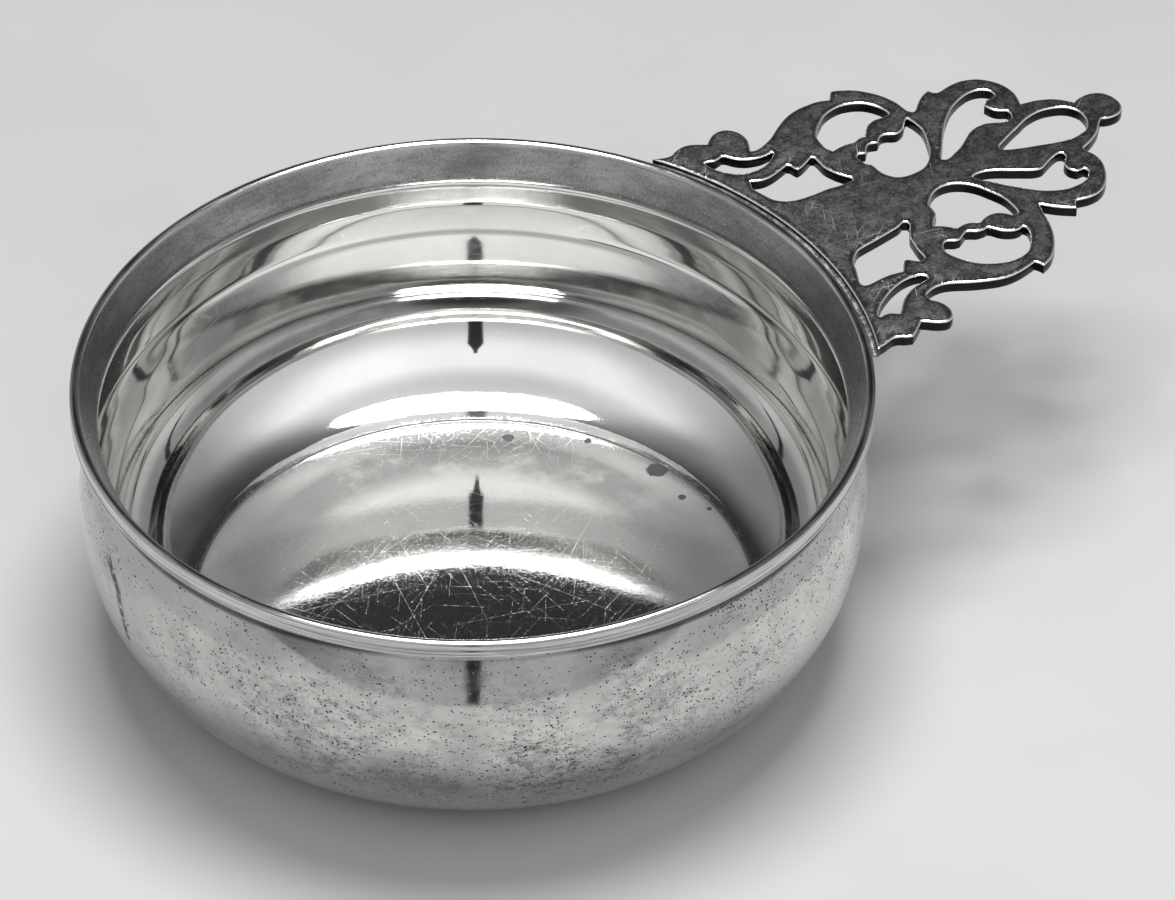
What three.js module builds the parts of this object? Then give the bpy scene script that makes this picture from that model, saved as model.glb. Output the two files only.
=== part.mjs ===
import * as THREE from 'three';
import { mergeVertices } from 'three/addons/utils/BufferGeometryUtils.js';

// A porringer: a bowl raised from one sheet, a flat pierced handle cast in one
// piece, and the seam of solder that holds the handle's root to the lip.
// Millimetres, +Z up, the handle along +X. The origin is the middle of the
// bounding box's bottom, so the bowl's own axis stands at x = BOWL_X.

// Overall
const HEIGHT = 49.2;           // resting ring to lip top
const LIP_RADIUS = 66.7;       // outside of the lip
const HANDLE_REACH = 136.79;   // bowl axis to the handle's tip
const BOWL_X = -(HANDLE_REACH - LIP_RADIUS) / 2;
const AROUND = 64;             // facets round the bowl

// Bowl: wall and lip
const WALL = 0.72;             // sheet thickness of the belly
const LIP_INNER_RADIUS = 65.2; // inside edge of the lip top
const LIP_BAND = 3.1;          // height of the thickened band
const LIP_ROUND = 0.4;         // rounding of the band's edges
const LIP_EASE = 0.3;          // eased inside edge of the lip top
const UNDERCUT_RADIUS = 64.35; // where the band meets the neck
const UNDERCUT_DROP = 3.45;

// Bowl: neck, belly and base
const NECK_RADIUS = 62.86;     // narrowest outside radius
const NECK_DROP = 6.3;         // below the lip top
const NECK_INNER_RADIUS = 62.1;
const NECK_INNER_DROP = 6.1;
const BELLY_RADIUS = 66.02;    // widest outside radius
const BELLY_DROP = 20.5;
const SHOULDER = 1.46;         // upper belly: how fast it draws in to the neck
const SHOULDER_EASE = 0.1;     // softens the turn at the widest place
const BASE_RADIUS = 44.9;      // where the belly curve reaches the table
const CURVE_R = 1.96;          // lower belly: superellipse exponents
const CURVE_Z = 2.33;
const REST_OUTER = 46.6;       // flat ring the bowl stands on
const REST_INNER = 44.6;
const CREASE_RADIUS = 47.8;    // inside, where belly and dome meet
const CREASE_Z = 0.95;
const DOME_RISE = 1.9;         // of the base's centre above the crease
const DOME_POWER = 1.7;        // keeps the base flat next to the crease

// Handle and seam
const HANDLE_DROP = 0.2;       // handle top below the lip top
const HANDLE_THICK = 2.1;
const ROOT_RADIUS = 67.9;      // concave root edge, concentric with the lip
const GAP = 0.3;               // between neighbouring pieces
const SEAM_TOP_DROP = 0.9;
const SEAM_HEIGHT = 1.3;
const SEAM_FROM = -28.3;       // degrees round the bowl axis
const SEAM_TO = 28.1;

// Handle outline and piercings as x, y pairs from the bowl axis. Each row of
// OUTLINE and each list in a piercing runs smoothly from corner to corner.
const OUTLINE = [
  [59.83,32.1,61.2,31.51,62.15,31.2,63.02,31.15,64.11,31.59,65.31,31.98,66.58,32.05,67.62,31.78,68.68,31.18,69.53,30.58,70.13,30.16],
  [70.13,30.16,70.97,30.92,72.01,31.61,73.11,32.02,74.18,32.06,75.29,31.66,76.15,30.77,76.65,29.68,76.84,28.48,76.65,27.12,76.05,25.77,75.17,24.26],
  [75.17,24.26,75.9,24,76.94,24.08,78.5,24.58,80.08,25.25,81.69,26.25,83.59,27.42,85.49,28.42,87.55,29.13,89.75,29.45,91.1,29.4,92.53,29.34,94.01,28.99,95.35,28.34],
  [95.35,28.34,96.18,29.38,96.96,30.18],
  [96.96,30.18,97.6,30.09,98.63,29.55,100.12,28.62,101.42,27.42,102.53,25.98,103.5,24.36,104.22,22.41,104.58,20.86,104.64,19.23,104.69,18.01,105.16,17.18],
  [105.16,17.18,105.9,17.34,106.76,18.1,107.87,19.02,109.09,19.83,110.19,20.33,111.24,20.64],
  [111.24,20.64,111.43,20.11,111.75,19.52,112.2,19.24],
  [112.2,19.24,112.95,19.26,114.19,19.52,115.43,19.67,117.01,19.69,118.53,19.35,120.01,18.68,121.11,17.8,122.01,16.66,122.76,15.33,123.19,13.9,123.34,12.38,123.19,10.93,122.75,9.5,122.18,8.16],
  [122.18,8.16,123.18,7.96,124.69,7.6,126.2,6.97,127.59,6.18,128.75,5.11,129.52,4.1,130.09,3.2],
  [130.09,3.2,131.24,3.62,132.47,3.77,133.7,3.7,134.92,3.25,135.89,2.5,136.52,1.33,136.82,-0.11,136.63,-1.67,135.93,-2.99,134.67,-3.9,133.33,-4.11,132.22,-3.95,131.45,-3.66,131.02,-3.35],
  [131.02,-3.35,130.05,-4.07,129.08,-5,127.81,-6.07,126.29,-6.97,124.73,-7.65,123.07,-8.19],
  [123.07,-8.19,123.13,-9.43,123.5,-10.61,123.51,-12.1,123.12,-13.66,122.3,-15.29,121.25,-16.83,119.96,-18.2,118.63,-19.18,117.27,-19.73,116.03,-19.9,114.67,-19.81,113.48,-19.5,112.58,-19.25],
  [112.58,-19.25,111.9,-20.02,111.25,-21.04],
  [111.25,-21.04,110.31,-20.29,109.26,-19.41,108.28,-18.45,107.49,-17.51,106.74,-16.54],
  [106.74,-16.54,106.03,-18.32,105.47,-19.85,104.86,-21.62,103.95,-23.63,102.89,-25.38,101.61,-27.03,100.2,-28.41,98.66,-29.54,96.56,-30.35],
  [96.56,-30.35,96.36,-29.38,95.98,-28.63],
  [95.98,-28.63,94.54,-28.94,92.66,-29.27,90.64,-29.37,88.71,-29.09,86.85,-28.45,84.95,-27.59,83.14,-26.62,81.41,-25.54,80.18,-24.91,78.98,-24.54,77.57,-24.48,76.29,-24.76,75.33,-25.25],
  [75.33,-25.25,75.18,-26.67,75.69,-27.39,76.23,-28.47,76.42,-29.73,76.27,-30.99,75.67,-32.12,74.81,-32.83,73.81,-33.02,72.8,-32.61,71.77,-31.89,70.99,-31.11,70.24,-30.45],
  [70.24,-30.45,69.22,-31.22,68.09,-32,66.7,-32.83],
  [66.7,-32.83,65.51,-32.32,64.57,-31.63,63.57,-31.35,62.52,-31.56,61.49,-31.82,60.41,-31.94,59.7,-32.34],
];
const PIERCINGS = [
  [[66.52,26.02,66.61,24.83,66.94,23.52,67.48,22.5,68.2,21.44,69.16,20.42,70.5,19.62,71.98,19.28,73.46,19.26,75.01,19.54,76.64,20.4,78.01,21.42], [78.01,21.42,77.85,21.82,76.81,21.73,75.53,21.75,74.24,22.05,72.94,22.62,71.85,23.48,71.08,24.48,70.56,25.44,70.07,25.79], [70.07,25.79,69.19,25.56,68.16,25.47,67.33,25.81,66.52,26.02]],
  [[69.9,17.21,69.12,15.28,69.37,13.75,69.71,12.19,70.22,10.69,71.32,9.47,72.85,8.64,74.51,8.27,76.29,8.07,77.96,8,79.64,7.94,81.38,7.56,83.16,7.46,84.65,7.42], [84.65,7.42,84.8,7.95,84.19,9.01,83.49,10.34,83.03,11.71,82.73,13.26,82.88,14.98,82.97,16.39,82.61,16.75], [82.61,16.75,82.08,16.48,80.67,15.82,79.45,15.38,78.61,15.26], [78.61,15.26,78.34,15.91,78.22,16.87,77.83,17.39], [77.83,17.39,76.57,16.98,75.01,16.56,73.52,16.27,72.1,16.26,70.87,16.63,69.9,17.21]],
  [[101.41,19.05,101.48,20,101.19,21.25,100.62,22.55,99.81,23.77,98.69,24.7,97.41,25.34,95.96,25.75,94.47,25.75,92.76,25.4,91.31,24.76,89.74,23.68,88.38,22.56,87.2,21.25,86.76,20.03,86.51,18.72,86.42,17.4,86.84,16.08], [86.84,16.08,87.52,16.17,88.34,16.3,89.31,16.33,90.22,16.23,91.02,16.02,91.65,16.04], [91.65,16.04,92.5,16.36,93.24,16.41,93.93,16.22], [93.93,16.22,94.64,17,95.46,17.88,96.41,18.61,97.44,19.03,98.51,19.14,99.39,18.99,100.57,18.92,101.41,19.05]],
  [[103.14,16.19,102.54,15.85,101.82,15.14,100.83,14.23,99.65,13.7,98.67,13.68,97.81,14.21,96.98,14.65,96.16,14.61,95.38,13.99,94.67,13.49], [94.67,13.49,93.9,13.78,93.18,14.04,92.42,13.58,91.92,13.01,91.13,12.26], [91.13,12.26,90.48,12.47,89.82,12.72,89.24,12.28], [89.24,12.28,89.13,11.3,89.24,10.31], [89.24,10.31,89.47,9.55,89.93,9.16], [89.93,9.16,90.07,8.43,90.01,7.3,90.13,6.03,90.62,4.81,91.37,3.83,92.4,3.25,93.8,3,95.31,3,96.7,3.21,98.01,3.88,99.22,4.86,100.22,5.99,101.04,7.19,101.96,8.92,102.72,10.55,103.33,12.22,103.43,13.62,103.39,15.01,103.14,16.19]],
  [[119.9,12.69,120.13,13.51,119.92,14.41,119.17,15.19,118,15.72,116.52,15.85,114.91,15.53,113.04,14.85,111.31,13.98,109.51,12.66,107.94,11.36,106.44,9.87,105.05,8.28,103.73,6.72,102.39,5.18,101.21,3.89,100.95,3.3,101.4,2.94,102.4,2.98,103.77,3.5,105.16,4.05,106.78,4.93,108.13,5.83,109.58,6.7,111.05,7.21,112.42,7.32,113.61,7.17,114.75,6.62,115.86,6.05,116.87,5.7,118.06,5.65,118.97,7.1], [118.97,7.1,118.8,7.94,118.14,8.37,117.38,9.01,116.89,9.89,116.67,10.8,116.57,11.37], [116.57,11.37,117.27,12.07,117.98,12.51], [117.98,12.51,118.78,12.42,119.9,12.69]],
  [[111.41,0.62,111.22,-0.23,111.9,-0.92,113.5,-1.69,115.18,-2.37,116.91,-2.98,118.62,-3.62,120.36,-4.23,121.98,-4.65,123.57,-4.88,125.25,-4.67,126.54,-4.37,127.64,-3.56,128.59,-2.08,128.98,-0.77,129.06,0.46,128.62,1.74,127.86,2.77,126.8,3.52,125.5,4.07,123.97,4.46,122.12,4.46,120.14,4.09,118,3.27,115.79,2.46,113.46,1.5,111.41,0.62]],
  [[102.16,-3.66,102.67,-5.07,103.78,-6.44,104.82,-7.9,105.88,-9.34,106.97,-10.73,108.1,-12.08,109.28,-13.36,110.65,-14.39,112.19,-15.23,113.83,-15.79,115.41,-15.88,116.8,-15.81,118.23,-15.24,119.58,-13.91], [119.58,-13.91,119.43,-12.97,118.64,-12.9,117.91,-12.85], [117.91,-12.85,117.4,-12.18,117.13,-11.36,117.17,-10.4,117.48,-9.74], [117.48,-9.74,118.4,-8.94,119.09,-8.15], [119.09,-8.15,119.15,-7.31,118.59,-6.95,117.63,-7.1,116.38,-7.52,115.04,-8.09,113.62,-8.68,112.47,-8.54,111.28,-7.95,109.95,-6.99,108.52,-6.02,107.22,-5.07,105.93,-4.27,104.53,-3.68,103.06,-3.45,102.16,-3.66]],
  [[102.17,-16.3,102.48,-15.56,102.69,-13.97,102.8,-12.26,102.6,-10.8,102.16,-9.44,101.7,-8.11,101.2,-6.79,100.49,-5.56,99.61,-4.5,98.48,-3.63,97.29,-3.11,95.9,-2.93,94.51,-3.15,93.15,-3.83,91.95,-4.79,91.12,-5.66,90.96,-6.37,90.84,-7.08,90.63,-8.11,90.16,-8.85,89.21,-9.62,88.06,-10.88], [88.06,-10.88,89.05,-11.47,89.82,-12.18,90.48,-13.02,91.01,-13.59], [91.01,-13.59,92.08,-13.45,92.98,-13.46,93.94,-13.73,94.56,-14.27,95.13,-14.6], [95.13,-14.6,96.51,-14.06,97.7,-13.82,98.84,-13.97,99.78,-14.49,100.64,-15.47,101.18,-16.23,102.17,-16.3]],
  [[86.48,-15.74,85.5,-17.09,85.41,-18.21,85.73,-19.49,86.33,-20.89,87.17,-22.35,88.3,-23.65,89.66,-24.67,91.16,-25.49,92.72,-26.01,94.35,-26.14,95.7,-26,97.07,-25.51,98.29,-24.46,99.56,-23.04,100.36,-21.73,100.74,-20.49,100.5,-19.77,99.76,-19.97], [99.76,-19.97,98.89,-19.94,97.94,-19.55,97.04,-18.92,96.33,-18.04,95.75,-16.95,95.35,-16.5,94.65,-16.59], [94.65,-16.59,93.74,-16.5,92.94,-16.25,92.28,-15.71,91.57,-15.32], [91.57,-15.32,90.5,-15.9,89.47,-16.44], [89.47,-16.44,88.47,-16.32,87.73,-15.8,87.17,-15.47,86.48,-15.74]],
  [[84.28,-7.03,83.23,-7.56,81.72,-7.83,80.05,-8.06,78.15,-8.3,76.27,-8.51,74.39,-8.72,73.23,-8.99,72.02,-9.84,71.21,-10.62,70.5,-11.64,69.91,-12.98,69.07,-14.58,68.25,-16.21,68.31,-17.02,69.08,-17.36,70.39,-17.31,71.62,-17.23,72.85,-17.23,74,-17.32,75.16,-17.61,76.04,-17.85], [76.04,-17.85,77.13,-16.53,78,-15.59], [78,-15.59,78.64,-15.6,79.15,-16.19,79.73,-16.9,80.23,-17.28,81.41,-17], [81.41,-17,81.56,-15.98,81.71,-14.74,82.05,-13.32,82.45,-12,82.75,-11.08,83.82,-9.61,84.96,-8.08], [84.96,-8.08,84.95,-7.42,84.28,-7.03]],
  [[78.39,-21.81,78.36,-21.02,77.71,-20.4,76.76,-20.1,75.4,-19.99,74.02,-20.12,72.49,-20.52,71.02,-21.06,69.56,-21.77,67.97,-22.68,66.63,-23.66,65.46,-24.79,65.35,-25.54,66.29,-25.44,67.32,-25.6,68.11,-26.22,68.68,-26.72], [68.68,-26.72,69.53,-25.89,70.46,-24.95,71.72,-23.88,73.06,-23.09,74.2,-22.59,75.39,-22.29,76.86,-22.05,78.39,-21.81]],
];

function solid(geometry) {
  geometry.deleteAttribute('normal');
  geometry.deleteAttribute('uv');
  const merged = mergeVertices(geometry, 1e-4);
  const index = merged.index.array;
  const kept = [];
  for (let i = 0; i < index.length; i += 3) {
    const [a, b, c] = [index[i], index[i + 1], index[i + 2]];
    if (a !== b && b !== c && c !== a) kept.push(a, b, c);
  }
  merged.setIndex(kept);
  const faceted = merged.toNonIndexed();
  faceted.computeVertexNormals();
  return faceted;
}

function piece(name, geometry, look) {
  const mesh = new THREE.Mesh(solid(geometry), new THREE.MeshStandardMaterial(look));
  mesh.name = name;
  mesh.position.x = BOWL_X;
  return mesh;
}

// Outside radius of the belly at height z
function bellyRadius(z) {
  const mid = HEIGHT - BELLY_DROP;
  if (z >= mid) {
    const t = (z - mid) / (BELLY_DROP - NECK_DROP);
    const ease = (v) => Math.pow(v * v + SHOULDER_EASE ** 2, SHOULDER / 2) - Math.pow(SHOULDER_EASE, SHOULDER);
    return BELLY_RADIUS - (BELLY_RADIUS - NECK_RADIUS) * ease(t) / ease(1);
  }
  const t = Math.min(1, (mid - z) / mid);
  return BASE_RADIUS + (BELLY_RADIUS - BASE_RADIUS) * Math.pow(1 - Math.pow(t, CURVE_Z), 1 / CURVE_R);
}

// A point of the belly's inside, WALL in from the outside along its normal
function bellyInside(z) {
  const step = 0.01;
  const slope = (bellyRadius(z + step) - bellyRadius(z - step)) / (2 * step);
  const n = Math.hypot(1, slope);
  return new THREE.Vector2(bellyRadius(z) - WALL / n, z + WALL * slope / n);
}

function domeInside(r) {
  return CREASE_Z + DOME_RISE * Math.pow(1 - (r / CREASE_RADIUS) ** 2, DOME_POWER);
}

function bowlProfile() {
  const at = (r, z) => new THREE.Vector2(r, z);
  const top = HEIGHT;
  const points = [at(0, domeInside(0) - WALL)];
  for (const r of [9, 18, 27, 35, 42]) points.push(at(r, domeInside(r) - WALL));
  points.push(at(REST_INNER, 0), at(REST_OUTER, 0));
  const lower = [0.45, 1.3, 2.7, 4.7, 7.3, 10.4, 14.2, 18.8, 23.6];
  const upper = [28.7, 31.2, 34.4, 37.6, 40.6];
  for (const z of [...lower, ...upper]) points.push(at(bellyRadius(z), z));
  points.push(
    at(NECK_RADIUS, top - NECK_DROP),
    at(UNDERCUT_RADIUS, top - UNDERCUT_DROP),
    at(LIP_RADIUS - LIP_ROUND, top - LIP_BAND),
    at(LIP_RADIUS - 0.12, top - LIP_BAND + 0.3),
    at(LIP_RADIUS, top - LIP_BAND / 2),
    at(LIP_RADIUS, top - LIP_ROUND),
    at(LIP_RADIUS - LIP_ROUND, top),
    at(LIP_INNER_RADIUS + LIP_EASE, top),
    at(LIP_INNER_RADIUS, top - LIP_EASE),
    at(NECK_INNER_RADIUS, top - NECK_INNER_DROP),
  );
  for (const z of [...upper].reverse()) points.push(bellyInside(z));
  for (const z of [...lower].reverse()) {
    const p = bellyInside(z);
    if (p.x > CREASE_RADIUS + 1.2) points.push(p);
  }
  points.push(at(CREASE_RADIUS, CREASE_Z));
  for (const r of [41, 34, 26, 18, 9]) points.push(at(r, domeInside(r)));
  points.push(at(0, domeInside(0)));
  return points;
}

function bowl() {
  const geometry = new THREE.LatheGeometry(bowlProfile(), AROUND);
  geometry.rotateX(Math.PI / 2);
  return geometry;
}

function pairs(run) {
  const points = [];
  for (let i = 0; i < run.length; i += 2) points.push(new THREE.Vector2(run[i], run[i + 1]));
  return points;
}

function follow(path, runs) {
  const first = pairs(runs[0])[0];
  path.moveTo(first.x, first.y);
  for (const run of runs) {
    const next = pairs(run).slice(1);
    if (next.length === 1) path.lineTo(next[0].x, next[0].y);
    else path.splineThru(next);
  }
  return path;
}

function handle() {
  const shape = follow(new THREE.Shape(), OUTLINE);
  const last = OUTLINE[OUTLINE.length - 1];
  const from = Math.atan2(last[last.length - 1], last[last.length - 2]);
  const to = Math.atan2(OUTLINE[0][1], OUTLINE[0][0]);
  const steps = 40;
  for (let i = 1; i < steps; i += 1) {
    const a = from + (to - from) * i / steps;
    shape.lineTo(ROOT_RADIUS * Math.cos(a), ROOT_RADIUS * Math.sin(a));
  }
  for (const runs of PIERCINGS) shape.holes.push(follow(new THREE.Path(), runs));
  const geometry = new THREE.ExtrudeGeometry(shape, { depth: HANDLE_THICK, bevelEnabled: false, curveSegments: 1 });
  geometry.translate(0, 0, HEIGHT - HANDLE_DROP - HANDLE_THICK);
  return geometry;
}

function seam() {
  const rad = Math.PI / 180;
  const inner = LIP_RADIUS + GAP;
  const outer = ROOT_RADIUS - GAP;
  const shape = new THREE.Shape();
  shape.absarc(0, 0, outer, SEAM_FROM * rad, SEAM_TO * rad, false);
  shape.absarc(0, 0, inner, SEAM_TO * rad, SEAM_FROM * rad, true);
  shape.closePath();
  const geometry = new THREE.ExtrudeGeometry(shape, { depth: SEAM_HEIGHT, bevelEnabled: false, curveSegments: 16 });
  geometry.translate(0, 0, HEIGHT - SEAM_TOP_DROP - SEAM_HEIGHT);
  return geometry;
}

const porringer = new THREE.Group();
porringer.name = 'porringer';
porringer.add(
  piece('bowl', bowl(), { color: 0xcfcdc8, roughness: 0.22, metalness: 1 }),
  piece('handle', handle(), { color: 0xc4c2bd, roughness: 0.3, metalness: 1 }),
  piece('solder_seam', seam(), { color: 0xaaa8a3, roughness: 0.45, metalness: 1 }),
);

export default porringer;
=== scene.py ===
import math

import bpy
import numpy as np
from mathutils import Matrix, Vector, noise
from mathutils.geometry import delaunay_2d_cdt


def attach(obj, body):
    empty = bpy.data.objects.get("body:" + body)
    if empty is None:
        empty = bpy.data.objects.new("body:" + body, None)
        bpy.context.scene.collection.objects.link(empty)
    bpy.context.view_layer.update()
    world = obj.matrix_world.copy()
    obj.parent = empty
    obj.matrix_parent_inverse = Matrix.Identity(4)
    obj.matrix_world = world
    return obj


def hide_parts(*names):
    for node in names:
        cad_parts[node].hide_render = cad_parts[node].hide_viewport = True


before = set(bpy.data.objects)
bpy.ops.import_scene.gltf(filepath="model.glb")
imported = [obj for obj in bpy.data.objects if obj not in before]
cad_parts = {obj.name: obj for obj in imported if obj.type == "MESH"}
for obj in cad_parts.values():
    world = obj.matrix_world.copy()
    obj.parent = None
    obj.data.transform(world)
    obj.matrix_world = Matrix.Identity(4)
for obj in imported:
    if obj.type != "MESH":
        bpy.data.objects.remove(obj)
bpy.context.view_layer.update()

# ---------------------------------------------------------------- dimensions
# Millimetres. r is measured from the bowl's axis, z from the surface it stands on.
MM = 0.001
HEIGHT = 49.2
BOWL_X = -35.045
AROUND = 256

WALL = 0.72
LIP_R = 66.7
LIP_INNER = 65.2
BAND = 3.1
NECK_R, NECK_DROP = 62.86, 6.3
NECK_IN_R, NECK_IN_DROP = 62.1, 6.1
BELLY_R, BELLY_DROP = 66.02, 20.5
SHOULDER, SHOULDER_EASE = 1.46, 0.1
BASE_R, CURVE_R, CURVE_Z = 44.9, 1.96, 2.33
REST_IN, REST_OUT = 44.6, 46.6
CREASE_R, CREASE_Z, DOME_RISE, DOME_POWER = 47.8, 0.95, 1.9, 1.7

PLATE_TOP = HEIGHT - 0.2
PLATE_THICK = 2.1
ROOT_R = 67.9
EDGE_IN, EDGE_DOWN = 0.62, 0.3
REACH = 136.78
UNDER_ROUND = 0.2
SEAM_FROM, SEAM_TO = -28.3, 28.1

# The handle's outline and piercings, x and y from the bowl's axis. Each list
# runs smoothly from corner to corner.
OUTLINE = [
  [59.83,32.1,61.2,31.51,62.15,31.2,63.02,31.15,64.11,31.59,65.31,31.98,66.58,32.05,67.62,31.78,68.68,31.18,69.53,30.58,70.13,30.16],
  [70.13,30.16,70.97,30.92,72.01,31.61,73.11,32.02,74.18,32.06,75.29,31.66,76.15,30.77,76.65,29.68,76.84,28.48,76.65,27.12,76.05,25.77,75.17,24.26],
  [75.17,24.26,75.9,24,76.94,24.08,78.5,24.58,80.08,25.25,81.69,26.25,83.59,27.42,85.49,28.42,87.55,29.13,89.75,29.45,91.1,29.4,92.53,29.34,94.01,28.99,95.35,28.34],
  [95.35,28.34,96.18,29.38,96.96,30.18],
  [96.96,30.18,97.6,30.09,98.63,29.55,100.12,28.62,101.42,27.42,102.53,25.98,103.5,24.36,104.22,22.41,104.58,20.86,104.64,19.23,104.69,18.01,105.16,17.18],
  [105.16,17.18,105.9,17.34,106.76,18.1,107.87,19.02,109.09,19.83,110.19,20.33,111.24,20.64],
  [111.24,20.64,111.43,20.11,111.75,19.52,112.2,19.24],
  [112.2,19.24,112.95,19.26,114.19,19.52,115.43,19.67,117.01,19.69,118.53,19.35,120.01,18.68,121.11,17.8,122.01,16.66,122.76,15.33,123.19,13.9,123.34,12.38,123.19,10.93,122.75,9.5,122.18,8.16],
  [122.18,8.16,123.18,7.96,124.69,7.6,126.2,6.97,127.59,6.18,128.75,5.11,129.52,4.1,130.09,3.2],
  [130.09,3.2,131.24,3.62,132.47,3.77,133.7,3.7,134.92,3.25,135.89,2.5,136.52,1.33,136.82,-0.11,136.63,-1.67,135.93,-2.99,134.67,-3.9,133.33,-4.11,132.22,-3.95,131.45,-3.66,131.02,-3.35],
  [131.02,-3.35,130.05,-4.07,129.08,-5,127.81,-6.07,126.29,-6.97,124.73,-7.65,123.07,-8.19],
  [123.07,-8.19,123.13,-9.43,123.5,-10.61,123.51,-12.1,123.12,-13.66,122.3,-15.29,121.25,-16.83,119.96,-18.2,118.63,-19.18,117.27,-19.73,116.03,-19.9,114.67,-19.81,113.48,-19.5,112.58,-19.25],
  [112.58,-19.25,111.9,-20.02,111.25,-21.04],
  [111.25,-21.04,110.31,-20.29,109.26,-19.41,108.28,-18.45,107.49,-17.51,106.74,-16.54],
  [106.74,-16.54,106.03,-18.32,105.47,-19.85,104.86,-21.62,103.95,-23.63,102.89,-25.38,101.61,-27.03,100.2,-28.41,98.66,-29.54,96.56,-30.35],
  [96.56,-30.35,96.36,-29.38,95.98,-28.63],
  [95.98,-28.63,94.54,-28.94,92.66,-29.27,90.64,-29.37,88.71,-29.09,86.85,-28.45,84.95,-27.59,83.14,-26.62,81.41,-25.54,80.18,-24.91,78.98,-24.54,77.57,-24.48,76.29,-24.76,75.33,-25.25],
  [75.33,-25.25,75.18,-26.67,75.69,-27.39,76.23,-28.47,76.42,-29.73,76.27,-30.99,75.67,-32.12,74.81,-32.83,73.81,-33.02,72.8,-32.61,71.77,-31.89,70.99,-31.11,70.24,-30.45],
  [70.24,-30.45,69.22,-31.22,68.09,-32,66.7,-32.83],
  [66.7,-32.83,65.51,-32.32,64.57,-31.63,63.57,-31.35,62.52,-31.56,61.49,-31.82,60.41,-31.94,59.7,-32.34],
]
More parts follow.
